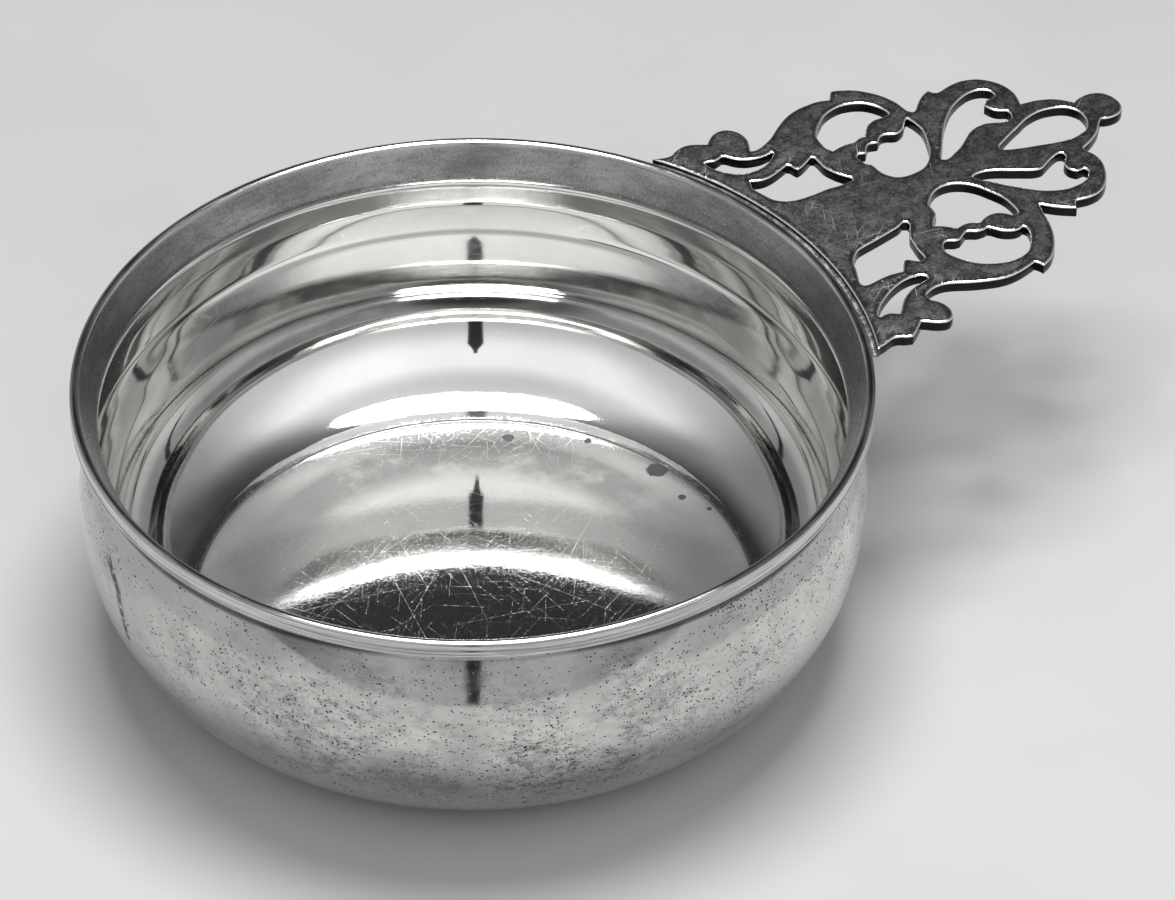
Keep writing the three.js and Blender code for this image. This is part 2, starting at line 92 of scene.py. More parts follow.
PIERCINGS = [
  [[66.52,26.02,66.61,24.83,66.94,23.52,67.48,22.5,68.2,21.44,69.16,20.42,70.5,19.62,71.98,19.28,73.46,19.26,75.01,19.54,76.64,20.4,78.01,21.42], [78.01,21.42,77.85,21.82,76.81,21.73,75.53,21.75,74.24,22.05,72.94,22.62,71.85,23.48,71.08,24.48,70.56,25.44,70.07,25.79], [70.07,25.79,69.19,25.56,68.16,25.47,67.33,25.81,66.52,26.02]],
  [[69.9,17.21,69.12,15.28,69.37,13.75,69.71,12.19,70.22,10.69,71.32,9.47,72.85,8.64,74.51,8.27,76.29,8.07,77.96,8,79.64,7.94,81.38,7.56,83.16,7.46,84.65,7.42], [84.65,7.42,84.8,7.95,84.19,9.01,83.49,10.34,83.03,11.71,82.73,13.26,82.88,14.98,82.97,16.39,82.61,16.75], [82.61,16.75,82.08,16.48,80.67,15.82,79.45,15.38,78.61,15.26], [78.61,15.26,78.34,15.91,78.22,16.87,77.83,17.39], [77.83,17.39,76.57,16.98,75.01,16.56,73.52,16.27,72.1,16.26,70.87,16.63,69.9,17.21]],
  [[101.41,19.05,101.48,20,101.19,21.25,100.62,22.55,99.81,23.77,98.69,24.7,97.41,25.34,95.96,25.75,94.47,25.75,92.76,25.4,91.31,24.76,89.74,23.68,88.38,22.56,87.2,21.25,86.76,20.03,86.51,18.72,86.42,17.4,86.84,16.08], [86.84,16.08,87.52,16.17,88.34,16.3,89.31,16.33,90.22,16.23,91.02,16.02,91.65,16.04], [91.65,16.04,92.5,16.36,93.24,16.41,93.93,16.22], [93.93,16.22,94.64,17,95.46,17.88,96.41,18.61,97.44,19.03,98.51,19.14,99.39,18.99,100.57,18.92,101.41,19.05]],
  [[103.14,16.19,102.54,15.85,101.82,15.14,100.83,14.23,99.65,13.7,98.67,13.68,97.81,14.21,96.98,14.65,96.16,14.61,95.38,13.99,94.67,13.49], [94.67,13.49,93.9,13.78,93.18,14.04,92.42,13.58,91.92,13.01,91.13,12.26], [91.13,12.26,90.48,12.47,89.82,12.72,89.24,12.28], [89.24,12.28,89.13,11.3,89.24,10.31], [89.24,10.31,89.47,9.55,89.93,9.16], [89.93,9.16,90.07,8.43,90.01,7.3,90.13,6.03,90.62,4.81,91.37,3.83,92.4,3.25,93.8,3,95.31,3,96.7,3.21,98.01,3.88,99.22,4.86,100.22,5.99,101.04,7.19,101.96,8.92,102.72,10.55,103.33,12.22,103.43,13.62,103.39,15.01,103.14,16.19]],
  [[119.9,12.69,120.13,13.51,119.92,14.41,119.17,15.19,118,15.72,116.52,15.85,114.91,15.53,113.04,14.85,111.31,13.98,109.51,12.66,107.94,11.36,106.44,9.87,105.05,8.28,103.73,6.72,102.39,5.18,101.21,3.89,100.95,3.3,101.4,2.94,102.4,2.98,103.77,3.5,105.16,4.05,106.78,4.93,108.13,5.83,109.58,6.7,111.05,7.21,112.42,7.32,113.61,7.17,114.75,6.62,115.86,6.05,116.87,5.7,118.06,5.65,118.97,7.1], [118.97,7.1,118.8,7.94,118.14,8.37,117.38,9.01,116.89,9.89,116.67,10.8,116.57,11.37], [116.57,11.37,117.27,12.07,117.98,12.51], [117.98,12.51,118.78,12.42,119.9,12.69]],
  [[111.41,0.62,111.22,-0.23,111.9,-0.92,113.5,-1.69,115.18,-2.37,116.91,-2.98,118.62,-3.62,120.36,-4.23,121.98,-4.65,123.57,-4.88,125.25,-4.67,126.54,-4.37,127.64,-3.56,128.59,-2.08,128.98,-0.77,129.06,0.46,128.62,1.74,127.86,2.77,126.8,3.52,125.5,4.07,123.97,4.46,122.12,4.46,120.14,4.09,118,3.27,115.79,2.46,113.46,1.5,111.41,0.62]],
  [[102.16,-3.66,102.67,-5.07,103.78,-6.44,104.82,-7.9,105.88,-9.34,106.97,-10.73,108.1,-12.08,109.28,-13.36,110.65,-14.39,112.19,-15.23,113.83,-15.79,115.41,-15.88,116.8,-15.81,118.23,-15.24,119.58,-13.91], [119.58,-13.91,119.43,-12.97,118.64,-12.9,117.91,-12.85], [117.91,-12.85,117.4,-12.18,117.13,-11.36,117.17,-10.4,117.48,-9.74], [117.48,-9.74,118.4,-8.94,119.09,-8.15], [119.09,-8.15,119.15,-7.31,118.59,-6.95,117.63,-7.1,116.38,-7.52,115.04,-8.09,113.62,-8.68,112.47,-8.54,111.28,-7.95,109.95,-6.99,108.52,-6.02,107.22,-5.07,105.93,-4.27,104.53,-3.68,103.06,-3.45,102.16,-3.66]],
  [[102.17,-16.3,102.48,-15.56,102.69,-13.97,102.8,-12.26,102.6,-10.8,102.16,-9.44,101.7,-8.11,101.2,-6.79,100.49,-5.56,99.61,-4.5,98.48,-3.63,97.29,-3.11,95.9,-2.93,94.51,-3.15,93.15,-3.83,91.95,-4.79,91.12,-5.66,90.96,-6.37,90.84,-7.08,90.63,-8.11,90.16,-8.85,89.21,-9.62,88.06,-10.88], [88.06,-10.88,89.05,-11.47,89.82,-12.18,90.48,-13.02,91.01,-13.59], [91.01,-13.59,92.08,-13.45,92.98,-13.46,93.94,-13.73,94.56,-14.27,95.13,-14.6], [95.13,-14.6,96.51,-14.06,97.7,-13.82,98.84,-13.97,99.78,-14.49,100.64,-15.47,101.18,-16.23,102.17,-16.3]],
  [[86.48,-15.74,85.5,-17.09,85.41,-18.21,85.73,-19.49,86.33,-20.89,87.17,-22.35,88.3,-23.65,89.66,-24.67,91.16,-25.49,92.72,-26.01,94.35,-26.14,95.7,-26,97.07,-25.51,98.29,-24.46,99.56,-23.04,100.36,-21.73,100.74,-20.49,100.5,-19.77,99.76,-19.97], [99.76,-19.97,98.89,-19.94,97.94,-19.55,97.04,-18.92,96.33,-18.04,95.75,-16.95,95.35,-16.5,94.65,-16.59], [94.65,-16.59,93.74,-16.5,92.94,-16.25,92.28,-15.71,91.57,-15.32], [91.57,-15.32,90.5,-15.9,89.47,-16.44], [89.47,-16.44,88.47,-16.32,87.73,-15.8,87.17,-15.47,86.48,-15.74]],
  [[84.28,-7.03,83.23,-7.56,81.72,-7.83,80.05,-8.06,78.15,-8.3,76.27,-8.51,74.39,-8.72,73.23,-8.99,72.02,-9.84,71.21,-10.62,70.5,-11.64,69.91,-12.98,69.07,-14.58,68.25,-16.21,68.31,-17.02,69.08,-17.36,70.39,-17.31,71.62,-17.23,72.85,-17.23,74,-17.32,75.16,-17.61,76.04,-17.85], [76.04,-17.85,77.13,-16.53,78,-15.59], [78,-15.59,78.64,-15.6,79.15,-16.19,79.73,-16.9,80.23,-17.28,81.41,-17], [81.41,-17,81.56,-15.98,81.71,-14.74,82.05,-13.32,82.45,-12,82.75,-11.08,83.82,-9.61,84.96,-8.08], [84.96,-8.08,84.95,-7.42,84.28,-7.03]],
  [[78.39,-21.81,78.36,-21.02,77.71,-20.4,76.76,-20.1,75.4,-19.99,74.02,-20.12,72.49,-20.52,71.02,-21.06,69.56,-21.77,67.97,-22.68,66.63,-23.66,65.46,-24.79,65.35,-25.54,66.29,-25.44,67.32,-25.6,68.11,-26.22,68.68,-26.72], [68.68,-26.72,69.53,-25.89,70.46,-24.95,71.72,-23.88,73.06,-23.09,74.2,-22.59,75.39,-22.29,76.86,-22.05,78.39,-21.81]],
]

# The view the scene is laid out for looks along -FRONT, with RIGHT to its right.
VIEW_TURN = -34.13
FRONT = (math.sin(math.radians(VIEW_TURN)), -math.cos(math.radians(VIEW_TURN)), 0.0)
RIGHT = (math.cos(math.radians(VIEW_TURN)), math.sin(math.radians(VIEW_TURN)), 0.0)

# ---------------------------------------------------------------- mesh helpers
def new_object(name, verts, faces, smooth_angle=None):
    mesh = bpy.data.meshes.new(name)
    mesh.from_pydata([tuple(v) for v in verts], [], [tuple(f) for f in faces])
    mesh.validate()
    mesh.update()
    mesh.polygons.foreach_set("use_smooth", [True] * len(mesh.polygons))
    if smooth_angle:
        mesh.set_sharp_from_angle(angle=math.radians(smooth_angle))
    obj = bpy.data.objects.new(name, mesh)
    bpy.context.scene.collection.objects.link(obj)
    return obj


def point_value(obj, name, values):
    layer = obj.data.attributes.new(name, "FLOAT", "POINT")
    layer.data.foreach_set("value", np.asarray(values, dtype=np.float32))


def rounded(points, corners):
    """The polyline with each listed corner (index: size) replaced by a short curve."""
    out = []
    for i, p in enumerate(points):
        size = corners.get(i)
        if not size:
            out.append(p)
            continue
        c = np.array(p)
        a, b = np.array(points[i - 1]), np.array(points[i + 1])
        la, lb = np.linalg.norm(a - c), np.linalg.norm(b - c)
        a = c + (a - c) * min(size / la, 0.48)
        b = c + (b - c) * min(size / lb, 0.48)
        for t in (0, 0.18, 0.36, 0.5, 0.64, 0.82, 1):
            out.append(tuple((1 - t) ** 2 * a + 2 * t * (1 - t) * c + t * t * b))
    return out


# ---------------------------------------------------------------- bowl
def shoulder(t):
    return (t * t + SHOULDER_EASE ** 2) ** (SHOULDER / 2) - SHOULDER_EASE ** SHOULDER


def belly_radius(z):
    mid = HEIGHT - BELLY_DROP
    if z >= mid:
        t = (z - mid) / (BELLY_DROP - NECK_DROP)
        return BELLY_R - (BELLY_R - NECK_R) * shoulder(t) / shoulder(1.0)
    t = min(1.0, (mid - z) / mid)
    return BASE_R + (BELLY_R - BASE_R) * (1 - t ** CURVE_Z) ** (1 / CURVE_R)


def belly_inside(z):
    slope = (belly_radius(z + 0.01) - belly_radius(z - 0.01)) / 0.02
    n = math.hypot(1, slope)
    return belly_radius(z) - WALL / n, z + WALL * slope / n


def settled(z):
    """How far the inside departs from an even wall: a soft swell at the middle and a straighter cone under the neck."""
    swell = 0.10 * math.exp(-((z - 28.5) / 2.2) ** 2) - 0.05 * math.exp(-((z - 21.0) / 2.0) ** 2)
    rise = 0.06 * min(1.0, max(0.0, (z - 30.0) / 6.4)) ** 2
    return swell + rise - math.tan(math.radians(2.7)) * 0.3 * math.log1p(math.exp((z - 36.4) / 0.3))


def dome_inside(r):
    return CREASE_Z + DOME_RISE * max(0.0, 1 - (r / CREASE_R) ** 2) ** DOME_POWER


def bowl_profile():
    """Points (r, z) from the middle of the underside, up the outside, over the lip and down to the middle of the inside."""
    top = HEIGHT
    pts, zone, corners = [], [], {}

    def add(r, z, where, corner=0.0):
        if corner:
            corners[len(pts)] = corner
        pts.append((r, z))
        zone.append(where)

    for r in np.linspace(0, 42.6, 20):
        add(r, dome_inside(r) - WALL, 0)
    add(REST_IN, 0.0, 0, 0.5)
    add(REST_OUT, 0.0, 0, 0.4)
    heights = list(np.geomspace(0.35, 8.0, 24)) + list(np.linspace(8.8, 34.8, 38)) + list(np.linspace(35.2, top - NECK_DROP - 0.9, 20))
    for z in heights:
        add(belly_radius(z), z, 1)
    add(NECK_R, top - NECK_DROP, 1, 0.7)
    add(64.35, top - 3.45, 2, 0.25)
    # the band: a bead over the undercut, a slope and an upright face
    for t in (-50, -20, 5, 30, 52, 68, 78):
        add(66.4 + 0.3 * math.cos(math.radians(t)), top - 2.78 + 0.3 * math.sin(math.radians(t)), 2)
    add(66.4, top - 2.4, 2, 0.08)
    add(66.62, top - 2.2, 2, 0.08)
    add(66.66, top - 1.95, 2)
    add(66.56, top - 1.62, 2)
    add(66.5, top - 1.4, 2, 0.1)
    add(66.66, top - 1.22, 2, 0.08)
    add(66.68, top - 0.9, 2)
    add(66.69, top - 0.55, 2, 0.12)
    # the lip's top slopes gently down to both sides of a soft ridge
    for d in (0.66, 0.58, 0.48, 0.36, 0.24, 0.14, 0.07, 0.0, -0.07, -0.14, -0.24, -0.36, -0.48, -0.58, -0.68):
        a = abs(d)
        drop = 1.06 * a * a if a < 0.1 else 0.0106 + 0.2126 * (a - 0.1) + 0.305 * (a - 0.1) ** 2
        add(65.95 + d, top - drop, 3)
    # the flare runs down to a soft crest at the neck
    inner = [belly_inside(z) for z in heights]
    inner = [(r + settled(z), z) for r, z in inner if z < 41.7 and r > CREASE_R + 0.9]
    low, last = np.array(inner[-2]), np.array(inner[-1])
    along = (last - low) / np.linalg.norm(last - low)
    start = np.array((LIP_INNER, top - 0.3))
    down = np.array((NECK_IN_R, top - NECK_IN_DROP)) - start
    down /= np.linalg.norm(down)
    u, v = np.linalg.solve(np.c_[along, -down], start - last)
    crest = last + u * along
    length = v - u
    add(LIP_INNER, top - 0.3, 3, 0.14)
    for t in np.linspace(0.12, 0.9, 9):
        add(*(start + down * length * t), 4)
    for t in np.linspace(0, 0.92, 12):
        add(*((1 - t) ** 2 * (start + down * length) + 2 * t * (1 - t) * crest + t * t * last), 4 if t < 0.4 else 5)
    for r, z in reversed(inner):
        add(r, z, 5)
    add(CREASE_R, CREASE_Z - 0.06, 6, 0.32)
    for r in np.linspace(CREASE_R - 1.0, 0, 34):
        add(max(0.0, r), dome_inside(r), 6)
    flat = rounded(pts, corners)
    zones = []
    for i, where in enumerate(zone):
        zones += [where] * (7 if i in corners else 1)
    return flat, zones


def hammered(theta, r, z, where):
    """Small unevenness left by the hammer, in millimetres along the wall's normal."""
    x, y = r * math.cos(theta), r * math.sin(theta)
    p = Vector((x, y, z))
    if where in (2, 3, 4):
        return 0.02 * noise.noise(p / 22.0)
    wide = noise.noise(p / 26.0 + Vector((7.1, 3.3, 1.9)))
    fine = noise.noise(p / 9.0 + Vector((1.7, 8.2, 5.5)))
    return 0.05 * wide + 0.018 * fine


def make_bowl():
    profile, zones = bowl_profile()
    n = len(profile)
    pr = np.array(profile)
    d = np.gradient(pr, axis=0)
    length = np.hypot(d[:, 0], d[:, 1])
    normal = np.c_[d[:, 1], -d[:, 0]] / length[:, None]
    verts, where_all, faces = [], [], []
    index = {}
    for i in range(n):
        r, z = profile[i]
        if i in (0, n - 1):
            index[i] = [len(verts)] * AROUND
            verts.append((BOWL_X * MM, 0.0, z * MM))
            where_all.append(zones[i])
            continue
        index[i] = []
        still = zones[i] == 0 and z < 0.4
        for k in range(AROUND):
            a = 2 * math.pi * k / AROUND
            off = 0.0 if still else hammered(a, r, z if zones[i] > 3 else z, zones[i])
            rr = r + normal[i, 0] * off
            zz = z + normal[i, 1] * off
            if zones[i] in (2, 3):
                rr, zz = min(rr, LIP_R), min(zz, HEIGHT)
            index[i].append(len(verts))
            verts.append(((BOWL_X + rr * math.cos(a)) * MM, rr * math.sin(a) * MM, max(zz, 0.0) * MM))
            where_all.append(zones[i])
    for i in range(n - 1):
        for k in range(AROUND):
            j = (k + 1) % AROUND
            a, b, c, e = index[i][k], index[i][j], index[i + 1][j], index[i + 1][k]
            if i == 0:
                faces.append((a, c, e))
            elif i == n - 2:
                faces.append((a, b, c))
            else:
                faces.append((a, b, c, e))
    obj = new_object("porringer_bowl", verts, faces)
    w = np.array(where_all)
    point_value(obj, "inside", np.where(w >= 4, 1.0, 0.0))
    point_value(obj, "rim", np.where((w == 2) | (w == 3), 1.0, 0.0))
    point_value(obj, "flare", np.where(w == 4, 1.0, 0.0))
    point_value(obj, "base", np.where(w == 6, 1.0, 0.0))
    z = np.array([v[2] for v in verts]) / MM
    point_value(obj, "upper", np.where(w == 5, np.clip((z - 36.2) / 3.0, 0, 1), 0.0))
    r = np.hypot([v[0] / MM - BOWL_X for v in verts], [v[1] / MM for v in verts])
    point_value(obj, "crease", np.where(w >= 5, np.clip(1.35 - np.abs(r - CREASE_R) / 0.26, 0, 1), 0.0) * (z < 3))
    turn = np.arctan2([v[1] / MM for v in verts], [v[0] / MM - BOWL_X for v in verts])
    rear = -(np.cos(turn) * FRONT[0] + np.sin(turn) * FRONT[1])
    worn = np.clip((r - 30.0) / 5.0, 0, 1) * np.clip((43.6 - r) / 2.4, 0, 1) * np.clip((rear - 0.25) / 0.4, 0, 1)
    point_value(obj, "worn", np.where(w == 6, worn, 0.0))
    # gutter: where the painted shade in the undercut under the lip band goes
    point_value(obj, "gutter", np.where((w == 2) & (z < HEIGHT - 2.98), 1.0, np.where(w == 1, np.clip((z - HEIGHT + NECK_DROP + 0.75) / 0.5, 0, 1), 0.0)))
    point_value(obj, "lower", np.where(w == 5, np.clip((6.0 - z) / 3.0, 0, 1), 0.0))
    return obj


# ---------------------------------------------------------------- handle
def spline(run, step):
    """Points along the smooth curve through a run, first point left out."""
    p = np.array(run, dtype=float).reshape(-1, 2)
    n = len(p)
    if n == 2:
        count = max(1, int(round(np.linalg.norm(p[1] - p[0]) / step)))
        return [tuple(p[0] + (p[1] - p[0]) * k / count) for k in range(1, count + 1)]
    out = []
    for i in range(n - 1):
        p0, p1, p2, p3 = p[max(i - 1, 0)], p[i], p[i + 1], p[min(i + 2, n - 1)]
        count = max(1, int(round(np.linalg.norm(p2 - p1) / step)))
        for k in range(1, count + 1):
            t = k / count
            v0, v1 = (p2 - p0) / 2, (p3 - p1) / 2
            out.append(tuple((2 * p1 - 2 * p2 + v0 + v1) * t ** 3 + (-3 * p1 + 3 * p2 - 2 * v0 - v1) * t ** 2 + v0 * t + p1))
    return out


def loop_of(runs, step):
    """A closed loop and the places of its corners."""
    pts, corner = [], []
    for run in runs:
        corner.append(len(pts))
        pts.append((run[0], run[1]))
        pts += spline(run, step)[:-1]
    return pts, corner


def area(p):
    q = np.roll(p, -1, axis=0)
    return 0.5 * np.sum(p[:, 0] * q[:, 1] - q[:, 0] * p[:, 1])


def inward(p, into_left):
    """Unit directions into the metal at each point, and the mitre length there."""
    e = np.roll(p, -1, axis=0) - p
    e /= np.linalg.norm(e, axis=1)[:, None]
    left = np.c_[-e[:, 1], e[:, 0]] * (1 if into_left else -1)
    n = left + np.roll(left, 1, axis=0)
    size = np.linalg.norm(n, axis=1)
    size[size < 1e-6] = 1
    n /= size[:, None]
    cos = np.clip(np.sum(n * left, axis=1), 0.34, 1)
    return n, 1 / cos


def distance_to(points, loops):
    a = np.vstack(loops)
    b = np.vstack([np.roll(l, -1, axis=0) for l in loops])
    best = np.full(len(points), 1e9)
    d = b - a
    dd = np.maximum(np.sum(d * d, axis=1), 1e-12)
    for s in range(0, len(points), 400):
        q = points[s:s + 400][:, None, :] - a[None]
        t = np.clip(np.sum(q * d[None], axis=2) / dd[None], 0, 1)
        r = q - t[..., None] * d[None]
        best[s:s + 400] = np.sqrt(np.min(np.sum(r * r, axis=2), axis=1))
    return best


def inset_loop(p, n, mitre, amount, loops):
    """The loop moved into the metal; points that would cross over at a corner are drawn together."""
    q = p + n * (mitre * amount)[:, None]
    if amount <= 1e-9:
        return q
    bad = distance_to(q, loops) < amount * 0.985 - 1e-6
    if bad.all() or not bad.any():
        return q
    m = len(q)
    start = int(np.argmax(~bad))
    i = 0
    while i < m:
        k = (start + i) % m
        if not bad[k]:
            i += 1
            continue
        j = i
        while bad[(start + j) % m]:
            j += 1
        before, after = q[(start + i - 1) % m], q[(start + j) % m]
        mid = (before + after) / 2
        for s in range(i, j):
            q[(start + s) % m] = mid
        i = j
    return q


def inside_loop(points, loop):
    x, y = points[:, 0], points[:, 1]
    hit = np.zeros(len(points), bool)
    q = np.roll(loop, -1, axis=0)
    for (x0, y0), (x1, y1) in zip(loop, q):
        cross = (y0 > y) != (y1 > y)
        with np.errstate(divide="ignore", invalid="ignore"):
            at = (x1 - x0) * (y - y0) / (y1 - y0) + x0
        hit ^= cross & (x < at)
    return hit


def make_handle():
    step = 0.45
    outer, _ = loop_of(OUTLINE, step)
    last = OUTLINE[-1]
    a0 = math.atan2(last[-1], last[-2])
    a1 = math.atan2(OUTLINE[0][1], OUTLINE[0][0])
    outer.append((last[-2], last[-1]))
    arc = 130
    outer += [(ROOT_R * math.cos(a0 + (a1 - a0) * k / arc), ROOT_R * math.sin(a0 + (a1 - a0) * k / arc)) for k in range(1, arc)]
    loops = [np.array(outer)] + [np.array(loop_of(runs, step)[0]) for runs in PIERCINGS]
    loops = [l if area(l) > 0 else l[::-1].copy() for l in loops]
    loops[0][:, 0] = np.minimum(loops[0][:, 0], REACH)
    dirs = [inward(l, i == 0) for i, l in enumerate(loops)]
    top, low = PLATE_TOP, PLATE_TOP - PLATE_THICK
    rows = []
    for t in (90, 45, 0):
        a = math.radians(t)
        rows.append((UNDER_ROUND * (1 - math.cos(a)) if t else 0.0, low + UNDER_ROUND * (1 - math.sin(a)), 0))
    rows.append((0.0, (top + low) / 2, 0))
    pillow = 0.05
    for t in (0, 18, 34, 50, 66, 80, 90):
        a = math.radians(t)
        rows.append((EDGE_IN * (1 - math.cos(a)), top - pillow - EDGE_DOWN * (1 - math.sin(a)), 1))
    verts, faces, edge, wall = [], [], [], []
    cap_loops = {0: [], len(rows) - 1: []}
    cap_index = {0: [], len(rows) - 1: []}
    for li, l in enumerate(loops):
        n, mitre = dirs[li]
        base = len(verts)
        m = len(l)
        for ri, (inset, z, e) in enumerate(rows):
            q = inset_loop(l, n, mitre, inset, loops)
            verts += [((BOWL_X + x) * MM, y * MM, z * MM) for x, y in q]
            edge += [float(e and 4 < ri)] * m
            wall += [1.0 if 1 <= ri <= 4 else 0.0] * m
            if ri in cap_loops:
                cap_loops[ri].append(q)
                cap_index[ri].append(base + ri * m)
        for ri in range(len(rows) - 1):
            for k in range(m):
                j = (k + 1) % m
                f = (base + ri * m + k, base + ri * m + j, base + (ri + 1) * m + j, base + (ri + 1) * m + k)
                faces.append(f if li == 0 else f[::-1])
    # caps
    rng = np.random.default_rng(11)
    for ri, q_loops in cap_loops.items():
        is_top = ri > 0
        pts, ids, cons = [], [], []
        seen = {}
        for q, base in zip(q_loops, cap_index[ri]):
            ring = []
            for k, (x, y) in enumerate(q):
                key = (round(x, 5), round(y, 5))
                if key not in seen:
                    seen[key] = len(pts)
                    pts.append(Vector((x, y)))
                    ids.append(base + k)
                if not ring or ring[-1] != seen[key]:
                    ring.append(seen[key])
            if ring[0] == ring[-1]:
                ring.pop()
            cons += [(ring[k], ring[(k + 1) % len(ring)]) for k in range(len(ring))]
        lo, hi = loops[0].min(0), loops[0].max(0)
        if is_top:
            gx, gy = np.meshgrid(np.arange(lo[0], hi[0], 0.8), np.arange(lo[1], hi[1], 0.8))
            grid = np.c_[gx.ravel(), gy.ravel()] + rng.uniform(-0.22, 0.22, (gx.size, 2))
        else:
            gx, gy = np.meshgrid(np.arange(lo[0], hi[0], 2.4), np.arange(lo[1], hi[1], 2.4))
            grid = np.c_[gx.ravel(), gy.ravel()] + rng.uniform(-0.4, 0.4, (gx.size, 2))
        keep = inside_loop(grid, q_loops[0])
        for q in q_loops[1:]:
            keep &= ~inside_loop(grid, q)
        grid = grid[keep]
        dist = distance_to(grid, q_loops)
        grid, dist = grid[dist > 0.28], dist[dist > 0.28]
        first = len(pts)
        pts += [Vector((x, y)) for x, y in grid]
        out_v, _, out_f, orig_v, _, _ = delaunay_2d_cdt(pts, cons, [], 1, 1e-6)
        place = []
        for v, origins in zip(out_v, orig_v):
            o = origins[0] if origins else None
            if o is not None and o < first:
                place.append(ids[o])
                continue
            d = dist[o - first] if o is not None else 0.0
            if is_top:
                wave = 0.5 + 0.5 * noise.noise(Vector((v.x / 13.0, v.y / 13.0, 4.2)))
                z = top - 0.05 * math.exp(-d / 0.6) - 0.05 * wave * (1 - math.exp(-d / 1.5))
            else:
                z = low
            place.append(len(verts))
            verts.append(((BOWL_X + v.x) * MM, v.y * MM, z * MM))
            edge.append(0.0)
            wall.append(0.0)
        tri = np.array([f for f in out_f if len(f) == 3])
        xy = np.array([(v.x, v.y) for v in out_v])
        mid = xy[tri].mean(axis=1)
        keep = inside_loop(mid, q_loops[0])
        for q in q_loops[1:]:
            keep &= ~inside_loop(mid, q)
        for a, b, c in tri[keep]:
            pa, pb, pc = xy[a], xy[b], xy[c]
            turn = (pb[0] - pa[0]) * (pc[1] - pa[1]) - (pb[1] - pa[1]) * (pc[0] - pa[0])
            if abs(turn) < 1e-9:
                continue
            f = (place[a], place[b], place[c])
            if (turn > 0) != is_top:
                f = f[::-1]
            faces.append(f)
    obj = new_object("porringer_handle", verts, faces)
    point_value(obj, "edge", edge)
    point_value(obj, "wall", wall)
    tidy(obj)
    obj.data.set_sharp_from_angle(angle=math.radians(38))
    return obj


def tidy(obj):
    import bmesh
    bm = bmesh.new()
    bm.from_mesh(obj.data)
    bmesh.ops.remove_doubles(bm, verts=bm.verts, dist=2e-7)
    bmesh.ops.dissolve_degenerate(bm, edges=bm.edges, dist=1e-8)
    bmesh.ops.recalc_face_normals(bm, faces=bm.faces)
    bm.to_mesh(obj.data)
    bm.free()
    obj.data.polygons.foreach_set("use_smooth", [True] * len(obj.data.polygons))


# ---------------------------------------------------------------- solder
def make_seam():
    """A thin fillet of solder lying in the gutter between lip and handle."""
    section = [(66.74, -2.1), (67.86, -2.1), (67.86, -1.0), (67.72, -1.16), (67.5, -1.3), (67.25, -1.34), (67.0, -1.26), (66.84, -1.1), (66.74, -0.9)]
    steps = 150
    verts, faces = [], []
    m = len(section)
    for k in range(steps + 1):
        a = math.radians(SEAM_FROM + (SEAM_TO - SEAM_FROM) * k / steps)
        end = min(k, steps - k) / steps
        slump = 0.35 * math.exp(-end * 40)
        for i, (r, z) in enumerate(section):
            lift = 0.0
            if i >= 2:
                lift = 0.12 * noise.noise(Vector((a * 24.0, i * 0.35, 2.0))) - slump
            verts.append(((BOWL_X + r * math.cos(a)) * MM, r * math.sin(a) * MM, (HEIGHT + z + lift) * MM))
    for k in range(steps):
        for i in range(m):
            j = (i + 1) % m
            faces.append((k * m + i, (k + 1) * m + i, (k + 1) * m + j, k * m + j))
    faces.append(tuple(range(m)))
    faces.append(tuple(reversed([steps * m + i for i in range(m)])))
    obj = new_object("porringer_solder_seam", verts, faces)
    tidy(obj)
    obj.data.set_sharp_from_angle(angle=math.radians(50))
    return obj


